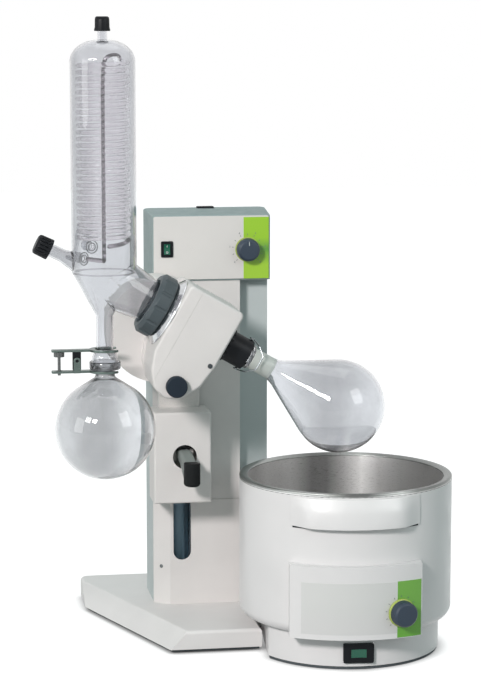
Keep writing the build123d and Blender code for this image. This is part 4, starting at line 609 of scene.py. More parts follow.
# The glass tones' patches and bands are painted reflection and shade: darker edges on the jacket, a darker
# left third on the coil, darker middles on both flasks.
CLEAR = Glass("clear_glass", tone(233, 233, 236), 0.0, patch=0.95)
JACKET = Glass(
    "jacket_glass", tone(229, 230, 233), 0.0, patch=0.96, middle=-118, reach=46,
    bands=((0.0, 0.86), (0.1, 0.86), (0.18, 1.0), (0.82, 1.0), (0.92, 0.84), (1.0, 0.9)),
)
ROUND = Glass(
    "round_flask_glass", tone(240, 241, 243), 0.0, patch=0.94, middle=-122, reach=66,
    bands=((0, 1), (0.34, 0.74), (0.56, 0.74), (0.8, 0.96), (1, 1)),
)
PEAR = Glass(
    "pear_flask_glass", tone(240, 241, 244), 0.0, patch=0.93, middle=186, reach=66,
    bands=((0, 0.96), (0.34, 0.8), (0.48, 0.74), (0.62, 0.82), (1, 1)),
)
COIL = Glass(
    "coil_glass", tone(254, 251, 253), 0.03, haze=0.04, ior=1.22, wave=0.25, gloss=1.0, middle=-118, reach=36,
    bands=((0.0, 0.86), (0.24, 0.9), (0.36, 1.0), (1.0, 1.0)),
)
# The return pipe's darker tint and its beads are painted shade for how it looks through the coil.
PIPE = Glass("return_pipe_glass", tone(206, 198, 204), 0.03, ior=1.32, gloss=0.6, beads=8.5)
RING = Glass("nozzle_ring_glass", tone(122, 126, 128), 0.05, ior=1.4, gloss=1.0)
SEAM = Glass("jacket_seam_glass", tone(222, 220, 223), 0.03, ior=1.3, gloss=0.6)
GROUND = Glass("ground_glass", tone(214, 219, 214), 0.4, haze=0.1, wave=0.01, clarity=0.5)


class Profile:
    """A half section in millimetres, radius along X and height along Z, that is turned about Z."""

    def __init__(self, radius: float, height: float) -> None:
        """Start the section at a point.

        Args:
            radius: The first point's radius.
            height: The first point's height.
        """
        self.mesh = bmesh.new()
        self.first = self.mesh.verts.new((radius, 0, height))
        self.last = self.first
        self.rounds: list[tuple[bmesh.types.BMVert, float]] = []

    def line(self, radius: float, height: float, rounding: float = 0.0) -> "Profile":
        """Draw a straight run, whose end may be rounded off.

        Args:
            radius: The end's radius.
            height: The end's height.
            rounding: How far back from the corner its rounding starts.

        Returns:
            The profile itself.
        """
        end = self.mesh.verts.new((radius, 0, height))
        self.mesh.edges.new((self.last, end))
        self.last = end
        if rounding:
            self.rounds.append((end, rounding))
        return self

    def arc(self, radius: float, height: float, degrees: float, steps: int = 12) -> "Profile":
        """Draw an arc from the last point about a centre.

        Args:
            radius: The centre's radius.
            height: The centre's height.
            degrees: The turn, positive from outwards towards up.
            steps: How many segments it has.

        Returns:
            The profile itself.
        """
        made = bmesh.ops.spin(
            self.mesh, geom=[self.last], cent=(radius, 0, height), axis=(0, -1, 0),
            angle=math.radians(degrees), steps=steps, use_merge=False, use_duplicate=False,
        )
        self.last = next(item for item in made["geom_last"] if isinstance(item, bmesh.types.BMVert))
        return self

    def close(self) -> "Profile":
        """Join the last point to the first, for a section that stays off the axis.

        Returns:
            The profile itself.
        """
        self.mesh.edges.new((self.last, self.first))
        return self

    def turned(self, steps: int = 96) -> bmesh.types.BMesh:
        """Round the marked corners and turn the section into a closed shape.

        Args:
            steps: The number of segments round the axis.

        Returns:
            The turned shape.
        """
        for corner, offset in self.rounds:
            bmesh.ops.bevel(
                self.mesh, geom=[corner], offset=offset, offset_type="OFFSET", segments=CORNER_STEPS,
                profile=0.5, affect="VERTICES", material=-1,
            )
        bmesh.ops.spin(
            self.mesh, geom=self.mesh.verts[:] + self.mesh.edges[:], cent=(0, 0, 0), axis=(0, 0, 1),
            angle=FULL_TURN, steps=steps, use_merge=True, use_duplicate=False,
        )
        bmesh.ops.remove_doubles(self.mesh, verts=self.mesh.verts, dist=0.001)
        bmesh.ops.recalc_face_normals(self.mesh, faces=self.mesh.faces)
        return self.mesh


def plate(width: float, height: float, thickness: float, rounding: float = 0.0) -> bmesh.types.BMesh:
    """A thin flat plate in the local XY plane, its back on Z = 0.

    Args:
        width: Its size along X.
        height: Its size along Y.
        thickness: How far it stands up along Z.
        rounding: The radius of its corners.

    Returns:
        The plate.
    """
    mesh = bmesh.new()
    bmesh.ops.create_grid(mesh, x_segments=1, y_segments=1, size=0.5)
    bmesh.ops.scale(mesh, vec=(width, height, 1), verts=mesh.verts)
    if rounding:
        bmesh.ops.bevel(
            mesh, geom=mesh.verts[:], offset=rounding, offset_type="OFFSET", segments=CORNER_STEPS,
            profile=0.5, affect="VERTICES", material=-1,
        )
    grown = bmesh.ops.extrude_face_region(mesh, geom=mesh.faces[:])
    raised = [item for item in grown["geom"] if isinstance(item, bmesh.types.BMVert)]
    bmesh.ops.translate(mesh, vec=(0, 0, thickness), verts=raised)
    bmesh.ops.recalc_face_normals(mesh, faces=mesh.faces)
    return mesh


def around(mesh: bmesh.types.BMesh, count: int, degrees: float) -> bmesh.types.BMesh:
    """Repeat a shape about the local Z axis.

    Args:
        mesh: The shape.
        count: How many copies there are in all.
        degrees: The turn from the first to the last.

    Returns:
        The same mesh, with its copies.
    """
    bmesh.ops.spin(
        mesh, geom=mesh.verts[:] + mesh.edges[:] + mesh.faces[:], cent=(0, 0, 0), axis=(0, 0, 1),
        angle=math.radians(degrees), steps=count - 1, use_duplicate=True,
    )
    return mesh


def strip(section: list[tuple[float, float]], start: float, sweep: float, steps: int) -> bmesh.types.BMesh:
    """A closed strip that is bent about the local Z axis.

    Args:
        section: Its corners, each a radius and a height in millimetres.
        start: The angle at which it starts, 0 at the front.
        sweep: The angle that it spans, positive towards the right.
        steps: How many segments it has.

    Returns:
        The strip.
    """
    mesh = bmesh.new()
    corners = [mesh.verts.new((0, -radius, height)) for radius, height in section]
    for one, other in zip(corners, corners[1:] + corners[:1]):
        mesh.edges.new((one, other))
    bmesh.ops.rotate(mesh, matrix=Matrix.Rotation(start, 3, "Z"), verts=mesh.verts)
    bmesh.ops.spin(
        mesh, geom=mesh.verts[:] + mesh.edges[:], cent=(0, 0, 0), axis=(0, 0, 1), angle=sweep,
        steps=steps, use_merge=False, use_duplicate=False,
    )
    bmesh.ops.holes_fill(mesh, edges=[edge for edge in mesh.edges if edge.is_boundary], sides=0)
    bmesh.ops.recalc_face_normals(mesh, faces=mesh.faces)
    return mesh


def meshed(curve: bpy.types.Curve) -> bmesh.types.BMesh:
    """Turn a curve or a text into a mesh, with its doubled points merged.

    Args:
        curve: The curve.

    Returns:
        The mesh.
    """
    holder = bpy.data.objects.new(curve.name, curve)
    bpy.context.scene.collection.objects.link(holder)
    bpy.context.view_layer.update()
    made = bpy.data.meshes.new_from_object(holder.evaluated_get(bpy.context.evaluated_depsgraph_get()))
    bpy.data.objects.remove(holder)
    mesh = bmesh.new()
    mesh.from_mesh(made)
    bpy.data.meshes.remove(made)
    bmesh.ops.remove_doubles(mesh, verts=mesh.verts, dist=MERGE_REACH)
    return mesh


def fluted_cap(radius: float, height: float, depth: float, count: int, taper: float) -> bmesh.types.BMesh:
    """A closed screw cap with grip flutes, its open side on Z = 0.

    Args:
        radius: Its radius at the skirt.
        height: Its height.
        depth: How deep the flutes are.
        count: How many flutes it has.
        taper: The top's size as a share of the skirt's.

    Returns:
        The cap.
    """
    mesh = bmesh.new()
    rim = bmesh.ops.create_circle(mesh, cap_ends=True, radius=radius, segments=count * 4)["verts"]
    inward = (radius - depth) / radius
    bmesh.ops.scale(mesh, vec=(inward, inward, 1), verts=rim[::4])
    levels = (
        (height * 0.1, 1.0), (height * 0.26, taper * 1.02), (height * 0.78, taper),
        (height * 0.93, taper * 0.95), (height, taper * 0.78),
    )
    top = mesh.faces[:]
    size = 1.0
    for level, share in levels:
        grown = bmesh.ops.extrude_face_region(mesh, geom=top)
        ring = [item for item in grown["geom"] if isinstance(item, bmesh.types.BMVert)]
        top = [item for item in grown["geom"] if isinstance(item, bmesh.types.BMFace)]
        rise = level - ring[0].co.z
        bmesh.ops.translate(mesh, vec=(0, 0, rise), verts=ring)
        bmesh.ops.scale(mesh, vec=(share / size, share / size, 1), verts=ring)
        size = share
    bmesh.ops.recalc_face_normals(mesh, faces=mesh.faces)
    return mesh


def screw_head(radius: float, height: float) -> bmesh.types.BMesh:
    """A low screw head with a six-sided pit, its back on Z = 0.

    Args:
        radius: The head's radius.
        height: The head's height.

    Returns:
        The head.
    """
    mesh = bmesh.new()
    bmesh.ops.create_circle(mesh, cap_ends=True, radius=radius, segments=24)
    grown = bmesh.ops.extrude_face_region(mesh, geom=mesh.faces[:])
    ring = [item for item in grown["geom"] if isinstance(item, bmesh.types.BMVert)]
    crown = [item for item in grown["geom"] if isinstance(item, bmesh.types.BMFace)]
    bmesh.ops.translate(mesh, vec=(0, 0, height), verts=ring)
    bmesh.ops.inset_region(mesh, faces=crown, thickness=radius * 0.18, depth=height * 0.25)
    bmesh.ops.inset_region(mesh, faces=crown, thickness=radius * 0.3, depth=0)
    bmesh.ops.inset_region(mesh, faces=crown, thickness=radius * 0.04, depth=-height * 0.7)
    bmesh.ops.recalc_face_normals(mesh, faces=mesh.faces)
    return mesh


@dataclass
class Assembly:
    """A group of pieces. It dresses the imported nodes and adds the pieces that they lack."""

    soft: float = 0.35
    crease: float = 32.0

    def keep(self, node: str, finish: Finish) -> None:
        """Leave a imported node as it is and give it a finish.

        Args:
            node: The node's name.
            finish: Its finish.
        """
        shown = frame["nodes"][node]
        shown.data.materials.clear()
        shown.data.materials.append(finish.material())
        log.info("%s kept, in %s", node, finish.name)

    def refine(
        self, node: str, finish: Finish, soft: float | None = None,
        place: Matrix | None = None, move: Move | None = None,
    ) -> bpy.types.Object:
        """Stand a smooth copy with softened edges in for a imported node.

        Args:
            node: The node's name.
            finish: The copy's finish.
            soft: The width of its softened edges in millimetres, or None for the group's own.
            place: The local frame that move works in, where the shape is eased.
            move: Takes a local point in millimetres to its eased place.

        Returns:
            The new piece.
        """
        mesh = bmesh.new()
        mesh.from_mesh(frame["nodes"][node].data)
        bmesh.ops.remove_doubles(mesh, verts=mesh.verts, dist=0.002 * MM)
        bmesh.ops.dissolve_limit(mesh, angle_limit=math.radians(0.3), verts=mesh.verts, edges=mesh.edges)
        if place and move:
            back = place.inverted()
            for vertex in mesh.verts:
                vertex.co = place @ move(back @ vertex.co)
        body = Body(frame["nodes"][node]["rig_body"])
        width = self.soft if soft is None else soft
        return self.add(f"{node}_fine", mesh, finish, body, Matrix.Identity(4), [node], width)

    def add(
        self, name: str, mesh: bmesh.types.BMesh, finish: Finish, body: Body, place: Matrix,
        stands_for: list[str] | None = None, soft: float = 0.0, slot: str = "",
    ) -> bpy.types.Object:
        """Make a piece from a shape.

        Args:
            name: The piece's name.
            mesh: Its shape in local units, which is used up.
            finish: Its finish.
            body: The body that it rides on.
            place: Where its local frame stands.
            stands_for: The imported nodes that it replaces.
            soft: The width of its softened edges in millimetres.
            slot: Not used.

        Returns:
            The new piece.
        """
        bmesh.ops.transform(mesh, matrix=place, verts=mesh.verts)
        for face in mesh.faces:
            face.smooth = True
        limit = math.radians(self.crease)
        for edge in mesh.edges:
            edge.smooth = len(edge.link_faces) != 2 or edge.calc_face_angle(0) < limit
        data = bpy.data.meshes.new(name)
        mesh.to_mesh(data)
        mesh.free()
        data.materials.append(finish.material())
        piece = bpy.data.objects.new(name, data)
        bpy.context.scene.collection.objects.link(piece)
        if soft:
            bevel = piece.modifiers.new("soft_edges", "BEVEL")
            bevel.width = soft * MM
            bevel.segments = 2
            bevel.limit_method = "ANGLE"
            bevel.angle_limit = limit
            bevel.harden_normals = True
        piece.visible_shadow = piece.visible_diffuse = not isinstance(finish, Glass)
        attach(piece, body.value)
        if stands_for:
            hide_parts(*stands_for)
        log.info("%s made, in %s", name, finish.name)
        return piece

    def number(self, name: str, text: str, size: float, body: Body, place: Matrix) -> None:
        """Print a small number on a surface.

        Args:
            name: The piece's name.
            text: The number.
            size: Its height in millimetres.
            body: The body that it rides on.
            place: Where its local frame stands, Z out of the surface.
        """
        curve = bpy.data.curves.new(name, "FONT")
        curve.body = text
        curve.size = size
        curve.extrude = 0.05
        curve.align_x = "CENTER"
        curve.align_y = "CENTER"
        self.add(name, meshed(curve), PRINT, body, place)

    def ticks(self, name: str, body: Body, face: Matrix, reach: float, lift: float) -> None:
        """Print the ticks round a dial.

        Args:
            name: The piece's name.
            body: The body that it rides on.
            face: The dial's local frame, Z out of the surface.
            reach: How far from the dial's axis they are, in millimetres.
            lift: How far off the frame's origin they lie, in millimetres.
        """
        tick = plate(0.6, 2.2, 0.12)
        bmesh.ops.translate(tick, vec=(0, reach, lift), verts=tick.verts)
        first = Matrix.Rotation(math.radians(-DIAL_SWEEP / 2), 3, "Z")
        bmesh.ops.rotate(tick, matrix=first, verts=tick.verts)
        self.add(name, around(tick, DIAL_TICKS, DIAL_SWEEP), PRINT, body, face)


@dataclass
class Studio:
    """The camera, the soft lamps, the pale floor and the white surroundings."""

    camera_place: Point = (-0.4277, -3.2161, 0.883)
    camera_tilt: float = 81.3
    camera_pan: float = -9.0
    lens: float = 123.43
    ambient: float = 0.37
    ambient_tint: Tone = (0.78, 1.0, 0.98)
    key_power: float = 111.0
    lamp_target: Point = (0.06, -0.08, 0.42)
    card_target: Point = (0, -0.13, 0.38)
    card_distance: float = 2.8
    floor_size: float = 14.0
    floor_drop: float = 0.0004
    floor_tone: Tone = (0.32, 0.32, 0.32)
    floor_glow: float = 0.88
    contact_reach: float = 0.016

    def build(self) -> None:
        """Set up the camera, the lamps, the floor and the world."""
        self.camera()
        self.lamp("key_lamp", (-1.97, -2.98, 2.07), size=0.6, share=1.0, colour=(1.0, 0.95, 0.945))
        self.lamp("fill_lamp", (1.9, -2.2, 1.3), size=1.2, share=0.05, colour=(0.9, 0.97, 1.0))
        self.lamp("top_lamp", (0.2, 0.3, 2.6), size=1.4, share=0.07, colour=(0.98, 0.99, 1.0))
        self.card("left_card", aside=62, rise=2, width=1.1, height=1.3, glow=3.4)
        self.card("right_card", aside=-54, rise=18, width=1.2, height=1.6, glow=3.6)
        self.card("key_card", aside=43, rise=17, width=0.62, height=0.56, glow=16.0)
        self.world()
        self.floor()
        bpy.context.scene.view_settings.view_transform = "Standard"

    def camera(self) -> None:
        """Place the camera at the viewing angle of the photograph."""
        data = bpy.data.cameras.new("camera")
        data.lens = self.lens
        data.sensor_width = 36
        data.dof.use_dof = False
        holder = bpy.data.objects.new("camera", data)
        holder.location = self.camera_place
        holder.rotation_euler = (math.radians(self.camera_tilt), 0, math.radians(self.camera_pan))
        bpy.context.scene.collection.objects.link(holder)
        bpy.context.scene.camera = holder

    def lamp(self, name: str, place: Point, size: float, share: float, colour: Tone) -> None:
        """Add a square soft lamp that faces the apparatus.

        Args:
            name: The lamp's name.
            place: Where it stands, in metres.
            size: Its side in metres.
            share: Its power as a share of the key lamp's.
            colour: Its linear colour.
        """
        data = bpy.data.lights.new(name, "AREA")
        data.size = size
        data.energy = self.key_power * share
        data.color = colour
        holder = bpy.data.objects.new(name, data)
        holder.location = place
        aim = Vector(self.lamp_target) - Vector(place)
        holder.rotation_euler = aim.to_track_quat("-Z", "Y").to_euler()
        holder.visible_transmission = False
        bpy.context.scene.collection.objects.link(holder)

    def card(self, name: str, aside: float, rise: float, width: float, height: float, glow: float) -> None:
        """Hang a card that shows only where glass and metal mirror it.

        Args:
            name: The card's name.
            aside: How far left of the camera it stands, in degrees.
            rise: How far above the camera's line it stands, in degrees.
            width: Its width in metres.
            height: Its height in metres.
            glow: How bright it looks.
        """
        data = bpy.data.lights.new(name, "AREA")
        data.shape = "RECTANGLE"
        data.size = width
        data.size_y = height
        data.energy = glow * width * height * math.pi
        holder = bpy.data.objects.new(name, data)
        turn = math.radians(self.camera_pan - aside)
        lift = math.radians(90 - self.camera_tilt + rise)
        away = Vector((math.sin(turn) * math.cos(lift), -math.cos(turn) * math.cos(lift), math.sin(lift)))
        holder.location = Vector(self.card_target) + away * self.card_distance
        holder.rotation_euler = (-away).to_track_quat("-Z", "Y").to_euler()
        holder.visible_diffuse = False
        holder.visible_camera = False
        holder.visible_transmission = False
        bpy.context.scene.collection.objects.link(holder)

    def seen(self, tree: bpy.types.NodeTree) -> Socket:
        """Find the rays that should meet the plain white background.

        Args:
            tree: The world's or the floor's node tree.

        Returns:
            A socket that is 1 for camera, glossy and transmission rays that no matt surface has scattered.
        """
        path = tree.nodes.new("ShaderNodeLightPath")
        total = path.outputs["Is Camera Ray"]
        for name in ("Is Glossy Ray", "Is Transmission Ray"):
            total = reckon(tree, "MAXIMUM", total, path.outputs[name])
        straight = reckon(tree, "LESS_THAN", path.outputs["Diffuse Depth"], 0.5)
        return reckon(tree, "MULTIPLY", total, straight)

    def world(self) -> None:
        """Make the surroundings white to look at and soft as light."""
        world = bpy.data.worlds.new("surroundings")
        bpy.context.scene.world = world
        world.use_nodes = True
        tree = world.node_tree
        background = tree.nodes["Background"]
        mix = tree.nodes.new("ShaderNodeMix")
        mix.data_type = "RGBA"
        mix.inputs[6].default_value = (*shade(self.ambient_tint, self.ambient), 1)
        mix.inputs[7].default_value = (1, 1, 1, 1)
        tree.links.new(self.seen(tree), mix.inputs[0])
        tree.links.new(mix.outputs[2], background.inputs["Color"])
        background.inputs["Strength"].default_value = 1.0

    def floor(self) -> None:
        """Lay a pale floor that looks white and keeps the shadow."""
        mesh = bmesh.new()
        bmesh.ops.create_grid(mesh, x_segments=8, y_segments=8, size=self.floor_size / 2)
        bmesh.ops.translate(mesh, vec=(0, 0, -self.floor_drop), verts=mesh.verts)
        data = bpy.data.meshes.new("studio_floor")
        mesh.to_mesh(data)
        mesh.free()
        material = bpy.data.materials.new("pale_floor")
        material.use_nodes = True
        tree = material.node_tree
        shader = tree.nodes["Principled BSDF"]
        shader.inputs["Base Color"].default_value = (*self.floor_tone, 1)
        shader.inputs["Roughness"].default_value = 0.9
        shader.inputs["Emission Color"].default_value = (1, 1, 1, 1)
        # Painted contact shadow: the floor's glow is dimmed by ambient occlusion close under the apparatus.
        near = tree.nodes.new("ShaderNodeAmbientOcclusion")
        near.samples = 12
        near.inputs["Distance"].default_value = self.contact_reach
        glow = reckon(tree, "MULTIPLY", self.seen(tree), self.floor_glow)
        dim = reckon(tree, "MULTIPLY", glow, near.outputs["AO"])
        tree.links.new(dim, shader.inputs["Emission Strength"])
        data.materials.append(material)
        floor = bpy.data.objects.new("studio_floor", data)
        bpy.context.scene.collection.objects.link(floor)


@dataclass
class Stand(Assembly):
    """The base, the column and the lift's guides."""

    screw_radius: float = 2.6
    screw_height: float = 1.0

    def build(self) -> None:
        """Dress the stand's nodes and add its screws."""
        self.refine("base_plate", BASE)
        self.refine("column_shell", COLUMN)
        self.refine("front_cover_upper", HOUSING)
        self.refine("front_cover_lower", HOUSING)
        self.refine("base_underside", DARK)
        self.refine("base_feet", RUBBER)
        self.refine("rear_cover", HOUSING)
        self.refine("mains_inlet", BLACK, 0.2)
        self.keep("guide_channel", CHANNEL)
        self.keep("guide_rods", STEEL)
        self.keep("gas_spring_cylinder", CYLINDER)
        self.screws()

    def screws(self) -> None:
        """Fasten the front cover's bevel and the rear cover."""
        self.screw("cover_screw", (-27.8, 8.4, 83), Vector((-20, -21, 0)))
        for index, (x, z) in enumerate(((-24, 46), (-24, 466), (117, 46), (117, 466))):
            self.screw(f"rear_screw_{index}", (x, 108.5, z), -FRONT)

    def screw(self, name: str, place: Point, out: Vector) -> None:
        """Set one screw.

        Args:
            name: The piece's name.
            place: Its head's back, in millimetres.
            out: Where its head points.
        """
        head = screw_head(self.screw_radius, self.screw_height)
        self.add(name, head, SCREW, Body.STAND, axes(place, UP, out))


@dataclass
class Console(Assembly):
    """The console on the column, with its panel, dial and switch."""

    dial_place: Point = (90.6, PANEL_Y, 524.0)
    tick_radius: float = 20.5
    number_gap: float = 4.2

    def build(self) -> None:
        """Dress the console and print its panel."""
        self.refine("console_housing", SHADED_CONSOLE)
        self.refine("control_panel", PANEL, 0.3)
        self.refine("top_plug", BLACK, 0.2)
        self.refine("switch_frame", BLACK, 0.3)
        self.keep("control_board", BOARD)
        self.refine("power_rocker", ROCKER, 0.3)
        corner = axes((102.6, PANEL_Y, 526), RIGHT, FRONT)
        self.add("tower_green_strip", plate(34.8, 84, 0.25, 0.6), TOWER_GREEN, Body.STAND, corner)
        self.dial()
        self.marks()

    def dial(self) -> None:
        """Build the speed dial, its skirt and the ticks and numbers round it."""
        face = axes(self.dial_place, RIGHT, FRONT)
        knob = (
            Profile(0, 17.2).line(12.6, 17.2, 1.2).line(13.4, 16.0, 0.8).line(15.0, 14.8, 1.4)
            .line(15.8, 4.6, 0.6).line(15.4, 2.2, 0.5).line(14.2, 1.2, 0.3).line(3.0, 1.2)
            .line(3.0, -5.0, 0.4).line(0, -5.0)
        )
        self.add("speed_knob_turned", knob.turned(), SLATE, Body.SPEED_DIAL, face, ["speed_knob"])
        skirt = Profile(3.3, 0.3).line(16.9, 0.3, 0.2).line(16.9, 0.9, 0.3).line(3.3, 0.9).close()
        self.add("speed_knob_skirt", skirt.turned(), LIME, Body.SPEED_DIAL, face)
        pointer = plate(0.9, 5.5, 0.2, 0.3)
        bmesh.ops.translate(pointer, vec=(0, 9.2, 17.2), verts=pointer.verts)
        self.add("speed_knob_pointer", pointer, MARK, Body.SPEED_DIAL, face)
        self.ticks("speed_ticks", Body.STAND, face, self.tick_radius, 0.25)
        reach = self.tick_radius + self.number_gap
        x, y, z = self.dial_place
        for index in range(0, DIAL_TICKS, 2):
            angle = math.radians(90 + DIAL_SWEEP * (0.5 - index / (DIAL_TICKS - 1)))
            spot = (x + reach * math.cos(angle), y - 0.28, z + reach * math.sin(angle))
            self.number(f"speed_number_{index}", str(index), 3.4, Body.STAND, axes(spot, RIGHT, FRONT))

    def marks(self) -> None:
        """Print the line and ring on the rocker."""
        bar = plate(0.6, 3.0, 0.15, 0.2)
        self.add("power_mark_on", bar, MARK, Body.POWER_SWITCH, axes((-19.9, -5.75, 530.0), RIGHT, FRONT))
        ring = Profile(0.9, 0).line(1.5, 0).line(1.5, 0.15).line(0.9, 0.15).close()
        place = axes((-19.9, -5.75, 521.6), RIGHT, FRONT)
        self.add("power_mark_off", ring.turned(32), MARK, Body.POWER_SWITCH, place)


@dataclass
class Carriage(Assembly):
    """The lift carriage with its lever."""

    lever_root: float = -62.0
    lever_lean: float = 0.12

    def splay(self, point: Vector) -> Vector:
        """Lean the lever to the right, the more the further it stands out.

        Args:
            point: A point of the lever, in millimetres.

        Returns:
            Where it goes.
        """
        return Vector((point.x + max(0.0, self.lever_root - point.y) * self.lever_lean, point.y, point.z))

    def build(self) -> None:
        """Dress the carriage and the lever."""
        self.refine("carriage_cover", HOUSING, 0.5)
        self.refine("carriage_bracket", BRACKET)
        self.keep("slide_block", CAST)
        self.keep("gas_spring_rod", STEEL)
        self.refine("lever_arm", LEVER, 0.4, ROW, self.splay)
        self.refine("lever_grip", GRIP, 0.3, ROW, self.splay)


@dataclass
class Head(Assembly):
    """The tilting drive head, its motor drum, flange and nut."""

    bezel_seam: float = -20.0
    bezel_slim: float = 0.84

    def build(self) -> None:
        """Dress the castings and the drive inside them."""
        self.refine("head_housing", HOUSING, 0.5)
        self.refine("front_bezel", HOUSING, 0.5, DRIVE, self.set_back)
        self.refine("rear_housing", HOUSING, 0.5)
        self.keep("drive_motor", DARK)
        self.keep("motor_worm", STEEL)
        self.keep("shaft_bearings", STEEL)
        self.refine("shaft_seal", SEAL)
        self.keep("drive_shaft", STEEL)
        self.keep("worm_wheel", BRONZE)
        self.refine("tilt_knob", TILT, 0.4)
        self.refine("union_nut", NUT, 0.8)
        self.flange()
        face = axes((13.9, -176.0, 391.7), RIGHT, FRONT)
        self.add("head_screw", screw_head(3.2, 0.8), DARK, Body.HEAD, face)

    def set_back(self, point: Vector) -> Vector:
        """Draw the bezel's face back towards its seam, so that the whole flange shows.

        Args:
            point: A point of the bezel, in millimetres on the drive's frame.

        Returns:
            Where it goes.
        """
        slimmed = self.bezel_seam + (point.z - self.bezel_seam) * self.bezel_slim
        return Vector((point.x, point.y, slimmed if point.z < self.bezel_seam else point.z))

    def flange(self) -> None:
        """Turn the polished conical flange between the bezel and the nut."""
        ring = (
            Profile(24, -35).line(29.8, -35, 0.4).line(29.8, -38.5).line(47.2, -38.5, 0.4)
            .line(47.6, -40.2, 0.8).line(45.8, -41.4, 0.8).line(39.0, -46.9, 1.5).line(35.5, -47.0)
            .line(35.5, -60, 0.6).line(24, -60).close()
        )
        self.add("flange_ring_turned", ring.turned(128), CHROME, Body.HEAD, DRIVE, ["flange_ring"])


@dataclass
class Glassware(Assembly):
    """The condenser, both flasks, the vapour tube and the clip."""

    coil_radius: float = 32.2
    coil_tube: float = 3.3
    coil_pitch: float = 8.5
    coil_bottom: float = 553.0
    coil_turns: float = 27.1
    coil_steps: int = 36
    pipe_bottom: float = 526.0
    nozzles: Shares = ((541.0, 110.0), (526.0, 130.0))
    nozzle_root: float = 37.5
    ring_radii: tuple[float, float] = (9.0, 5.8)
    ring_width: float = 1.4
    receiver_centre: float = 303.7
    receiver_radius: float = 66.0
    receiver_wall: float = 2.0
    pear_centre: float = 222.8
    pear_radius: float = 62.0
    pear_wall: float = 1.8

    def build(self) -> None:
        """Build the glass pieces and what holds them."""
        self.refine("condenser_body", JACKET, 0)
        self.coil()
        self.rings()
        self.caps()
        self.receiver()
        self.flask()
        self.tube()
        self.refine("clip_nut", BLACK, 0.3)
        self.refine("flask_bail", WIRE, 0)

    def coil(self) -> None:
        """Wind the cooling coil, with its middle return and the arch that joins them."""
        mesh = bmesh.new()
        ring = bmesh.ops.create_circle(mesh, radius=self.coil_tube, segments=12)["verts"]
        upright = Matrix.Rotation(math.radians(90), 3, "X")
        bmesh.ops.rotate(mesh, matrix=upright, verts=ring)
        bmesh.ops.translate(mesh, vec=(self.coil_radius, 0, self.coil_bottom), verts=ring)
        steps = int(self.coil_turns * self.coil_steps)
        made = bmesh.ops.spin(
            mesh, geom=mesh.verts[:] + mesh.edges[:], cent=(0, 0, 0), axis=(0, 0, 1),
            dvec=(0, 0, self.coil_pitch / self.coil_steps), angle=FULL_TURN * self.coil_turns,
            steps=steps, use_merge=False, use_duplicate=False,
        )
        last = [item for item in made["geom_last"] if isinstance(item, bmesh.types.BMVert)]
        for end in (ring, last):
            bmesh.ops.contextual_create(mesh, geom=end)
        bmesh.ops.recalc_face_normals(mesh, faces=mesh.faces)
        self.add("condenser_coil_wound", mesh, COIL, Body.HEAD, UPRIGHT, ["condenser_coil"])
        start = (0, 0, self.pipe_bottom)
        top = (self.coil_radius * 0.8, self.coil_radius * 0.6, 783.4)
        rise = [(0, 0, height) for height in (545, 600, 700, 784)]
        self.pipe("coil_return", [start, *rise, (10, 1, 793), (24, 8, 792), top], 2.6)
        lowest = (self.coil_radius, 0, self.coil_bottom)
        self.pipe("coil_lower_run", [lowest, (30, 8, 546), (10, 36, 541)], 3.0)
        self.pipe("coil_return_run", [start, (-8, 10, self.pipe_bottom), (-20, 27, self.pipe_bottom)], 3.0)

    def rings(self) -> None:
        """Ring the roots of both hose nozzles, and the seam at the jacket's lower end."""
        for index, (height, degrees) in enumerate(self.nozzles):
            out = Vector((math.cos(math.radians(degrees)), math.sin(math.radians(degrees)), 0))
            place = axes(tuple(Vector((CONDENSER_X, HEAD_Y, height)) + out * self.nozzle_root), UP, out)
            for number, radius in enumerate(self.ring_radii):
                inner = radius - self.ring_width
                ring = Profile(inner, -0.8).line(radius, -0.8, 0.4).line(radius, 0.8, 0.4)
                ring.line(inner, 0.8, 0.4).close()
                name = f"nozzle_ring_{index}_{number}"
                self.add(name, ring.turned(48), RING, Body.HEAD, place, slot="glass")
        seam = Profile(38.0, 510.4).line(40.0, 510.4).line(40.0, 512.4).line(38.0, 512.4, 0.6).close()
        self.add("jacket_seam", seam.turned(), SEAM, Body.HEAD, UPRIGHT, slot="glass")

    def pipe(self, name: str, points: list[Point], radius: float) -> None:
        """Draw a bent glass pipe through a few points in the condenser's frame.

        Args:
            name: The piece's name.
            points: The points, in millimetres.
            radius: The pipe's radius.
        """
        curve = bpy.data.curves.new(name, "CURVE")
        curve.dimensions = "3D"
        curve.bevel_depth = radius
        curve.bevel_resolution = 2
        curve.use_fill_caps = True
        spline = curve.splines.new("NURBS")
        spline.points.add(len(points) - 1)
        for spot, point in zip(spline.points, points):
            spot.co = (*point, 1)
        spline.use_endpoint_u = True
        spline.order_u = 3
        mesh = meshed(curve)
        bmesh.ops.recalc_face_normals(mesh, faces=mesh.faces)
        self.add(name, mesh, PIPE, Body.HEAD, UPRIGHT)

    def caps(self) -> None:
        """Mould the two screw caps."""
        top = fluted_cap(10.4, 18.6, 0.3, 16, 0.9)
        bmesh.ops.translate(top, vec=(0, 0, 822), verts=top.verts)
        self.add("top_cap_moulded", top, BLACK, Body.UPPER_CAP, UPRIGHT, ["top_cap"], 0.4)
        side = fluted_cap(13.8, 20.4, 0.5, 18, 0.97)
        bmesh.ops.translate(side, vec=(0, 0, 78), verts=side.verts)
        self.add("side_cap_moulded", side, BLACK, Body.PORT_CAP, PORT, ["side_cap"], 0.4)

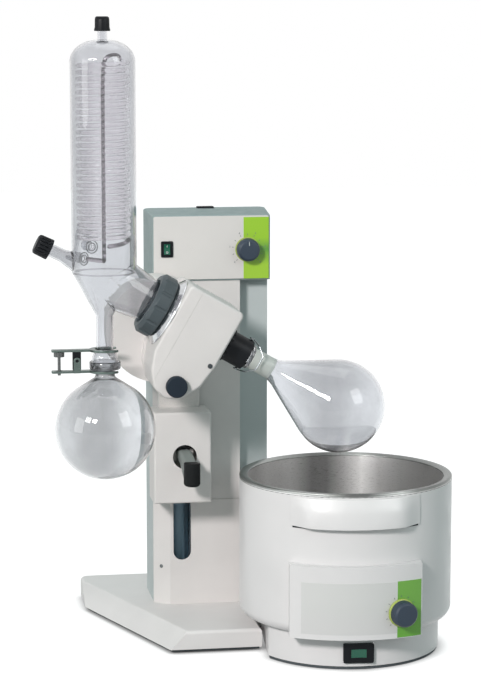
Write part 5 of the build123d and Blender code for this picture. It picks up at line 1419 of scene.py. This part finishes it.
    def receiver(self) -> None:
        """Turn the receiving flask with its ball-joint cup."""
        bottom = self.receiver_centre - self.receiver_radius
        flask = Profile(0, bottom).arc(0, self.receiver_centre, 153, 40)
        flask.line(12.6, 374.0, 3.0).line(12.6, 383.3, 1.0).line(20.4, 384.2, 1.6).line(20.6, 393.6, 0.8)
        flask.line(19.2, 394.5, 0.5).line(17.4, 394.2).line(16.0, 389.0).line(10.6, 382.0)
        flask.line(10.8, 376.0, 5.0).line(28.0, 361.25)
        flask.arc(0, self.receiver_centre, -154.06, 40).line(0, bottom + self.receiver_wall)
        self.add("receiving_flask_blown", flask.turned(), ROUND, Body.RECEIVER, UPRIGHT, ["receiving_flask"])

    def flask(self) -> None:
        """Turn the pear flask: sphere, cone and neck, with the ground part of its neck."""
        bottom = self.pear_centre + self.pear_radius
        pear = Profile(0, bottom).arc(0, self.pear_centre, -120, 48)
        pear.line(14.0, 121.2, 10.0).line(14.0, 86.4).line(16.4, 86.0, 0.8).line(16.4, 82.0, 0.8)
        pear.line(14.0, 81.6).line(14.0, 64.5, 0.5).line(12.3, 64.5, 0.5).line(12.3, 121.0, 9.0)
        pear.line(52.1, 192.7).arc(0, self.pear_centre, 120, 48).line(0, bottom - self.pear_wall)
        self.add("evaporating_flask_blown", pear.turned(), PEAR, Body.ROTOR, DRIVE, ["evaporating_flask"])
        sleeve = Profile(14.06, 87).line(14.3, 87.4).line(14.3, 118, 0.2).line(14.06, 118.4).close()
        self.add("flask_ground_band", sleeve.turned(64), GROUND, Body.ROTOR, DRIVE)

    def tube(self) -> None:
        """Turn the vapour tube that runs through the head."""
        tube = Profile(10.4, -58).line(12, -58, 0.4).line(12, 118, 0.4).line(10.4, 118, 0.4).close()
        self.add("vapor_tube_drawn", tube.turned(64), CLEAR, Body.ROTOR, DRIVE, ["vapor_tube"])


@dataclass
class BallClamp(Assembly):
    """The long-armed clamp on the ball joint."""

    def build(self) -> None:
        """Dress the clamp."""
        self.refine("clamp_jaw_upper", CLAMP, 0.5)
        self.refine("clamp_jaw_lower", CLAMP, 0.5)
        self.refine("clamp_block", BLACK, 0.3)
        self.refine("clamp_screw", THUMB, 0.3)


@dataclass
class Bath(Assembly):
    """The round heating bath with its pot, control bulge and foot."""

    shell_radius: float = 142.3
    edge_half: float = math.radians(35)
    film_gap: float = 0.02
    handle_half: float = 36.0
    handle_fade: float = 15.0
    dial_x: float = 57.0
    dial_z: float = 80.0

    def build(self) -> None:
        """Dress the bath and print its panel."""
        self.refine("bath_shell", ENAMEL)
        self.refine("bath_pot", POT, 0.5)
        self.keep("bath_heater", STEEL)
        self.refine("bath_foot", ENAMEL, 0.6)
        self.refine("bath_gasket", RUBBER)
        self.refine("bath_inlet", BLACK, 0.2)
        self.refine("bath_console", ENAMEL, 1.2)
        self.refine("bath_switch_frame", BLACK, 0.4)
        self.refine("bath_rocker", ROCKER, 0.3)
        self.refine("bath_handles", ENAMEL, 0.8, BATH, self.fade)
        self.seals()
        self.film("bath_panel", -72, 84, 53, 121, 0.25, BATH_PANEL)
        self.film("bath_green_strip", 52, 84.4, 47, 121.4, 0.45, BATH_GREEN)
        self.dial()

    def seals(self) -> None:
        """Lay painted shade: a dark ring under the pot's rim and a dark strip in the front handle's gap,
        where shadows fall.
        """
        seal = Profile(139.5, 230.2).line(141.95, 230.2).line(141.95, 232.0, 0.5).line(139.5, 232.0).close()
        self.add("rim_painted_shade", seal.turned(), SHADE, Body.BATH, BATH, slot="rubber")
        section = [(141.5, 188.6), (142.5, 188.6), (142.5, 191.2), (141.5, 191.2)]
        edge = strip(section, -self.edge_half, 2 * self.edge_half, 64)
        self.add("handle_gap_painted_shade", edge, SHADE, Body.BATH, BATH, slot="rubber")

    def fade(self, point: Vector) -> Vector:
        """Let a handle die away into the shell at both of its ends.

        Args:
            point: A point of the handle, in millimetres on the bath's frame.

        Returns:
            Where it goes.
        """
        radius = math.hypot(point.x, point.y)
        aside = math.degrees(math.atan2(abs(point.x), abs(point.y)))
        share = min(1.0, max(0.0, (self.handle_half - aside) / self.handle_fade))
        swell = 0.1 + 0.9 * share * share * (3 - 2 * share)
        factor = (self.shell_radius + (radius - self.shell_radius) * swell) / radius
        return Vector((point.x * factor, point.y * factor, point.z))

    def film(
        self, name: str, left: float, right: float, low: float, high: float, lift: float, finish: Finish
    ) -> None:
        """Lay a thin bent film on the bulge.

        Args:
            name: The piece's name.
            left: Its left edge along the bath's local X.
            right: Its right edge.
            low: Its bottom height.
            high: Its top height.
            lift: How far its outer face stands off the bulge.
            finish: Its finish.
        """
        inner, outer = BULGE_RADIUS + self.film_gap, BULGE_RADIUS + lift
        start, end = math.asin(left / BULGE_RADIUS), math.asin(right / BULGE_RADIUS)
        mesh = strip([(inner, low), (inner, high), (outer, high), (outer, low)], start, end - start, 24)
        bmesh.ops.translate(mesh, vec=(0, BULGE_RADIUS - BATH_FACE, 0), verts=mesh.verts)
        self.add(name, mesh, finish, Body.BATH, BATH)

    def dial(self) -> None:
        """Turn the bath's dial with its lime skirt and ticks."""
        turn = math.asin(self.dial_x / BULGE_RADIUS)
        distance = BATH_FACE - BULGE_RADIUS + BULGE_RADIUS * math.cos(turn)
        out = (BATH_FRONT * math.cos(turn) + BATH_RIGHT * math.sin(turn)).normalized()
        right = (BATH_RIGHT * math.cos(turn) - BATH_FRONT * math.sin(turn)).normalized()
        centre = Vector((BATH_X, BATH_Y, self.dial_z)) + BATH_RIGHT * self.dial_x + BATH_FRONT * distance
        face = axes(tuple(centre), right, out)
        knob = (
            Profile(0, 18.2).line(14.0, 18.2, 1.2).line(14.8, 17.0, 0.8).line(16.2, 15.8, 1.4)
            .line(17.0, 4.6, 0.6).line(16.4, 2.2, 0.5).line(15.2, 1.3, 0.3).line(3.0, 1.3)
            .line(3.0, -6.0, 0.4).line(0, -6.0)
        )
        self.add("bath_knob_turned", knob.turned(), SLATE, Body.BATH_DIAL, face, ["bath_knob"])
        skirt = Profile(3.3, 0.7).line(18.4, 0.7, 0.3).line(18.4, 3.6, 0.8).line(16.0, 4.4, 0.3)
        skirt.line(3.3, 1.2).close()
        self.add("bath_knob_skirt", skirt.turned(), LIME, Body.BATH_DIAL, face)
        self.ticks("bath_ticks", Body.BATH, face, 21.5, 0.5)


def main() -> None:
    """Build the studio and every assembly."""
    logging.basicConfig(level=logging.INFO, format="%(name)s: %(message)s")
    Studio().build()
    for assembly in (Stand(), Console(), Carriage(), Head(), Glassware(), BallClamp(), Bath()):
        assembly.build()


if __name__ == "__main__":
    main()
